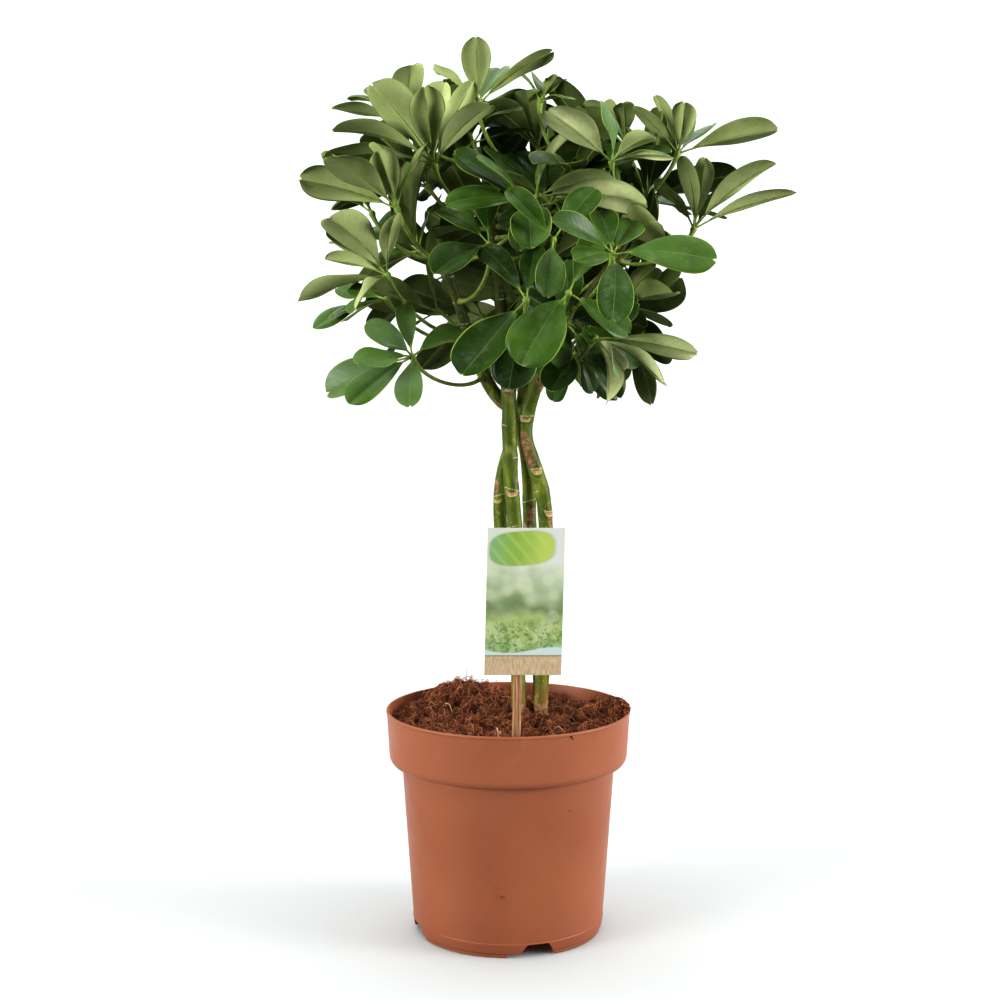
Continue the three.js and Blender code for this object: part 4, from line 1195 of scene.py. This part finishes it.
def placedFronds():
    # every frond as the solids have it: the route its stalk took and how each leaflet was bent clear
    draw = Draw(crownSeed)
    fronds = [frontFrond(draw, *row) for row in frontFronds]
    fronds += [otherFrond(draw, *row) for row in otherFronds]
    lost = []
    for i, frond in enumerate(fronds):
        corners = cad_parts[f"frond_{i + 1:02d}"].data.vertices
        near = KDTree(len(corners))
        for vertex in corners:
            near.insert(vertex.co, vertex.index)
        near.balance()

        def inSolid(point):
            return near.find(Vector(point * mm))[2] < leaf["match"] * mm

        frond["stalk"] = next(bend for bend in stalkRoutes(frond) if all(map(inSolid, startCorners(bend))))
        for leaflet in frond["leaflets"]:
            for nudge in nudges:
                tip = nudged(leaflet, frond["up"], *nudge)
                ribAt = leafletFrame(frond["hub"], tip, frond["up"], leaflet)[2]
                if inSolid(ribAt(leaf["notchAt"])[0]):
                    leaflet["placed"] = tip
                    break
            else:
                lost.append(i + 1)
        frond["leaflets"] = [leaflet for leaflet in frond["leaflets"] if "placed" in leaflet]
    print("leaflets placed:", sum(len(frond["leaflets"]) for frond in fronds))
    print("left out on fronds:", lost)
    return fronds


def bladeHalf(share):
    # an obovate blade: narrow at its foot, widest past the middle, round at the tip
    widest, foot = leaf["widestAt"], leaf["bladeFrom"]
    rise = np.clip((share - foot) / (widest - foot), 0, 1)
    tip = np.clip((share - widest) / (1.012 - widest), 0, 1)
    return np.sin(math.pi / 2 * rise) ** 1.15 * (1 - tip**2.3) ** 0.5


def bladeFaces():
    # the upper and lower side share the points of the rim
    rows, columns = leaf["rows"], len(leaf["columns"])
    onRim = np.ones((rows, columns), bool)
    onRim[1:-1, 1:-1] = False
    upper = np.arange(rows * columns).reshape(rows, columns)
    lower = np.where(onRim, upper, np.cumsum(~onRim).reshape(rows, columns) - 1 + rows * columns)
    faces = gridFaces(upper) + flipped(gridFaces(lower))
    return onRim, faces, np.repeat([0, 1], len(faces) // 2).tolist()


def bladeShell(hub, leaflet, up, onRim, draw):
    length, side, ribAt = leafletFrame(hub, leaflet["placed"], up, leaflet)
    widest, foot = leaflet["width"] * length / 2, leaf["bladeFrom"]
    t = np.linspace(0, 1, leaf["rows"])[:, None]
    v = 1 - (1 - t) ** 1.5  # from the foot to the tip, with closer rows toward the tip
    u = np.array(leaf["columns"])[None, :]
    skew = draw.uniform(-0.08, 0.08)
    notch = draw.choice(leaf["notches"]) * np.exp(-np.abs((u - skew) / 0.16) ** 1.5)
    rounding = draw.uniform(0.02, 0.034) * np.abs(u) ** 2.2
    share = foot + (1 - foot) * v - (notch + rounding) * v**9
    wobble = 6.3 * draw.uniform(0.6, 1.3) * v + draw.uniform(0, 6.3) + 1.3 * np.sign(u)
    half = widest * bladeHalf(foot + (1 - foot) * v) * (1 + 0.03 * np.sin(wobble)) + 0.35
    rib, normal = ribAt(share)
    # each half lifts from the rib, bellies, rolls at its margin and waves, and one half stands higher
    belly, roll = draw.uniform(-0.02, 0.12), draw.uniform(-0.10, 0.34)
    lift = math.sin(leaflet["fold"] + draw.uniform(-0.10, 0.14))
    tilt = draw.uniform(-0.16, 0.16)
    rise = half * (lift * np.abs(u) ** 1.15 + tilt * u + belly * np.sin(math.pi * np.abs(u)) - roll * u**4)
    waves = draw.uniform(0.9, 1.8)
    swing = draw.uniform(0.3, 1.7)
    swing = swing * np.sin(fullTurn * waves * share + draw.uniform(0, 6.3) + 1.7 * np.sign(u))
    rise = rise + swing * u**2 * np.minimum(1, v * 3)
    droop = draw.uniform(-0.10, 0.0) * length * v**3  # the blade bends less toward its tip than its solid
    spread = side * (half * u)[..., None] * math.cos(leaflet["fold"])
    middle = rib + spread + normal * (rise - droop)[..., None]
    thinning = (0.35 + 0.65 * np.exp(-(np.abs(u) / 0.2) ** 1.5)) * (1 - 0.55 * v)
    depth = normal * (leaf["thick"] / 2 * thinning)[..., None]
    upper = np.where(onRim[..., None], middle, middle + depth)
    points = np.concatenate([upper.reshape(-1, 3), (middle - depth)[~onRim]])
    # the rim mark reaches one on the whole margin, the round tip too
    rim = np.clip(np.maximum(np.abs(u), 1 - (1 - v) * (1 - foot) * length / (widest + 1e-6)), 0, 1)
    marks = {}
    for key, values in (("across", u), ("along", share), ("rim", rim)):
        values = np.broadcast_to(values, onRim.shape)
        marks[key] = np.concatenate([values.reshape(-1), values[~onRim]])
    return points, marks, ribShell(ribAt, droop[-1, 0])


def ribShell(ribAt, droop):
    # bare petiolule that runs on as the midrib under the blade
    shares = np.array([0.0, 0.05, 0.11, 0.16, 0.22, 0.32, 0.44, 0.58, 0.72, 0.86])
    spine, under = ribAt(shares)
    sunk = np.interp(shares, (0, 0.15, 0.3, 0.86), (0, 0.1, 0.36, 0.22))
    sag = np.interp(shares, (leaf["bladeFrom"], 1), (0, 1)) ** 3 * droop
    radii = np.interp(shares, (0, 0.05, 0.15, 0.3, 0.86), (1.3, 0.85, 0.75, 0.5, 0.12))
    return tubeShell(spine - under * (sunk + sag)[:, None], radii, 6)


def drawnIn(hub, *clouds):
    # a leaflet at the edge of the crown is made a little smaller to stay inside the solids' box
    def over(points):
        reach = points - hub
        return np.max(reach / np.where(reach > 0, cadHigh / mm - hub, cadLow / mm - hub))

    share = 1 / max(1.0, *(over(points) for points in clouds))
    return [hub + (points - hub) * share for points in clouds]


def stalkShell(bend, i):
    # flared where it leaves the stem and knobbed at the hub
    shares = np.concatenate([[0, 0.015, 0.03, 0.06, 0.1], np.linspace(0.16, 0.93, 12), [0.965, 0.985, 1]])
    path = np.array([bezierPoint(bend, share) for share in shares])
    path[0] -= unit(path[1] - path[0]) * 1.2
    radii = np.interp(shares, *zip(*petiole["flare"])) * (1 + 0.03 * np.sin(shares * 40 + i))
    tip = unit(path[-1] - path[-2])
    path = np.concatenate([path, [path[-1] + tip * 1.6, path[-1] + tip * 2.7]])
    radii = np.concatenate([radii, [2.2, 0.9]])
    along = np.repeat(np.concatenate([shares, [1, 1]]), petiole["sides"])
    return tubeShell(path, radii, petiole["sides"]), along


def sideVeins(paint, across, along, cloud, sharpness):
    slant = along * 12 - across * 2.1 + cloud * 1.2
    wave = paint.maths("COSINE", slant * fullTurn)
    return wave.eased(sharpness, 1.0) * across.eased(0.55, 0.95, 1.0, 0.1)


def leafUpperMaterial():
    paint = Paint("leaf_upper", Specular_IOR_Level=0.13, Coat_Weight=0.02, Coat_Roughness=0.2)
    across, along, cloud = abs(paint.mark("across")), paint.mark("along"), paint.grain(38, 4)
    # colour by tone, partly the leaf's own and partly painted light and shade; the palest end is greyed as a
    # painted sheen
    paint.tint = paint.ramp(paint.mark("tone") + (cloud - 0.5) * 0.7, (0.0, 0.010, 0.030, 0.0025),
                            (0.3, 0.026, 0.064, 0.005), (0.62, 0.060, 0.128, 0.016),
                            (0.85, 0.10, 0.165, 0.062), (1.0, 0.15, 0.225, 0.11))
    vein = sideVeins(paint, across, along, cloud, 0.94)
    rib = across.eased(0.008, 0.042, 1.0, 0.0)
    paint.coat(vein * 0.08, (0.12, 0.23, 0.04))
    paint.coat(rib * 0.3, (0.18, 0.30, 0.05))
    # paler blotches of old spray and dust
    paint.coat(paint.grain(65, 6, 0.7).eased(0.48, 0.72, 0, 0.26), (0.17, 0.24, 0.12))
    paint.coat(paint.mark("rim").eased(0.95, 0.985, 0, 0.65), (0.36, 0.50, 0.07))
    paint.coat(along.eased(0.14, 0.28, 0.5, 0), (0.15, 0.28, 0.035))
    relief = vein * -0.35 + rib * -1.0 + paint.grain(1400, 3, 0.6) * 0.25
    return paint.finish(paint.grain(120, 5, 0.6).eased(0.3, 0.75, 0.26, 0.42), relief, 0.45, 0.0004)


def leafLowerMaterial():
    paint = Paint("leaf_lower", Specular_IOR_Level=0.06)
    across, along, cloud = abs(paint.mark("across")), paint.mark("along"), paint.grain(34, 4)
    # colour by tone, partly the underside's own and partly painted light and shade: the darkest end for
    # leaves shaded deep in the crown, the palest for the best lit
    paint.tint = paint.ramp(paint.mark("tone") + (cloud - 0.5) * 0.8, (0.0, 0.062, 0.088, 0.022),
                            (0.2, 0.125, 0.168, 0.046), (0.4, 0.29, 0.345, 0.13),
                            (0.7, 0.46, 0.52, 0.235), (1.0, 0.76, 0.80, 0.44))
    vein = sideVeins(paint, across, along, cloud, 0.93)
    net = Wire(paint, paint.cells(420, "DISTANCE_TO_EDGE").outputs["Distance"]).eased(0.02, 0.10, 1.0, 0.0)
    fleck = paint.grain(500, 4, 0.7)
    paint.coat(fleck.eased(0.5, 0.75, 0, 0.25), (0.24, 0.30, 0.08))
    paint.coat(net * 0.08, (0.16, 0.23, 0.045))
    paint.coat(vein * 0.18, (0.20, 0.28, 0.06))
    paint.coat(across.eased(0.03, 0.10, 0.5, 0.0), (0.52, 0.60, 0.22))
    paint.coat(paint.mark("rim").eased(0.94, 0.985, 0, 0.75), (0.09, 0.15, 0.025))
    relief = vein * 0.5 + net * 0.2 + fleck * 0.3
    return paint.finish(cloud.eased(0.3, 0.7, 0.68, 0.56), relief, 0.35, 0.0004)


def leafStalkMaterial():
    paint = Paint("leaf_stalk", Specular_IOR_Level=0.22)
    streak = paint.grain(260, 4, stretch=(1, 1, 0.3))
    paint.tint = paint.ramp(streak, (0.3, 0.10, 0.17, 0.022), (0.55, 0.20, 0.28, 0.05),
                            (0.75, 0.33, 0.40, 0.10))
    paint.coat(paint.mark("along").eased(0.0, 0.08, 0.6, 0.0), (0.22, 0.15, 0.06))
    return paint.finish(streak.eased(0.3, 0.7, 0.42, 0.6), streak, 0.35, 0.0003)


def makeFronds():
    materials = [leafUpperMaterial(), leafLowerMaterial(), leafStalkMaterial()]
    fronds = placedFronds()
    draw = np.random.RandomState(leaf["seed"])
    onRim, bladeSides, skins = bladeFaces()
    for i, frond in enumerate(fronds):
        shells = newShells("across", "along", "rim", "tone")
        # painted shade: the fronds further in get darker leaves for the shade inside the crown, and the front
        # fronds take their listed tones, partly painted light and shade
        frondToneAndShade = frontTonesAndLight[i] if i < len(frontTonesAndLight) else draw.uniform(0.0, 0.34)
        for leaflet in frond["leaflets"]:
            points, marks, (ribPoints, ribFaces) = bladeShell(frond["hub"], leaflet, frond["up"], onRim, draw)
            points, ribPoints = drawnIn(frond["hub"], points, ribPoints)
            tone = min(max(frondToneAndShade + draw.normal(0, 0.09), 0), 1)
            addShell(shells, points, bladeSides, skins, tone=tone, **marks)
            addShell(shells, ribPoints, ribFaces, 2, along=0.5, tone=tone)
        stalk, along = stalkShell(frond["stalk"], i)
        addShell(shells, *stalk, 2, along=along, tone=frondToneAndShade)
        makePiece(f"frond_{i + 1:02d}_leaves", shells, materials, "leaf", f"frond_{i + 1:02d}")


makeFronds()
print("fronds leafed out")


# floor and light
light = {
    # brightness of the white room where it is seen, behind, above, below and on the camera's side
    "room": {"seen": 1.0, "behind": 0.24, "above": 0.05, "below": 0.09, "front": 0.03},
    # strength, angle across in degrees, height over the horizon, degrees round from the front
    "suns": {
        "key_light": (4.4, 32, 7, -58), "side_light": (5.3, 32, 6, 76), "top_light": (3.6, 110, 80, 180),
    },
    "colour": (1.0, 1.0, 0.99), "exposure": 0.36, "gamma": 0.85,
}
floorSize = {"half": 9.0, "steps": 12, "height": -0.0002}  # in metres


def floorMaterial():
    paint = Paint("white_floor", Specular_IOR_Level=0.0)
    paint.tint = paint.ramp(paint.grain(3, 3), (0.3, 0.538, 0.560, 0.564), (0.7, 0.548, 0.570, 0.574))
    return paint.finish(paint.grain(40, 3).eased(0, 1, 0.7, 0.8))


def makeStage():
    steps = floorSize["steps"] + 1
    across = (np.linspace(0, 1, steps) - 0.5) * 2 * floorSize["half"]
    points = [(x, y, floorSize["height"]) for y in across for x in across]
    mesh = bpy.data.meshes.new("studio_floor")
    mesh.from_pydata(points, [], gridFaces(np.arange(len(points)).reshape(steps, steps)))
    mesh.materials.append(floorMaterial())
    floor = addObject("studio_floor", mesh)
    floor.visible_diffuse = False  # the room's own light from below stands in for its bounce
    floor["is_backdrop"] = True


def addSun(name, strength, across, height, turn):
    data = bpy.data.lights.new(name, "SUN")
    data.energy = strength
    data.angle = math.radians(across)
    data.color = light["colour"]
    sun = addObject(name, data)
    sun.rotation_euler = (math.radians(90 - height), 0, math.radians(turn))


def setLight():
    world = bpy.data.worlds.new("white_room")
    world.use_nodes = True
    world.node_tree.nodes.clear()
    nodes, room = Nodes(world.node_tree), light["room"]
    # the wall behind and the ceiling are bright, and the camera's side of the room is dark
    way = nodes.wire("ShaderNodeTexCoord", output="Generated")
    back, up = (nodes.wire("ShaderNodeSeparateXYZ", {0: way}, axis) for axis in "YZ")
    glow = back.eased(-0.15, 0.55, room["front"], room["behind"]) + up.eased(0.35, 0.95, 0, room["above"])
    glow = nodes.maths("MAXIMUM", glow, up.eased(0.02, -0.05, 0, room["below"]))
    ray = nodes.wire("ShaderNodeLightPath", output="Is Camera Ray")
    glow = nodes.wire("ShaderNodeMix", {0: ray, 2: glow, 3: room["seen"]})
    air = nodes.wire("ShaderNodeBackground", {"Color": (1.0, 1.0, 1.0), "Strength": glow})
    nodes.add("ShaderNodeOutputWorld", {"Surface": air})
    scene.world = world
    for name, values in light["suns"].items():
        addSun(name, *values)
    scene.view_settings.view_transform = "Standard"
    scene.view_settings.look = "None"
    scene.view_settings.exposure = light["exposure"]
    scene.view_settings.gamma = light["gamma"]


makeStage()
setLight()
print("lit")
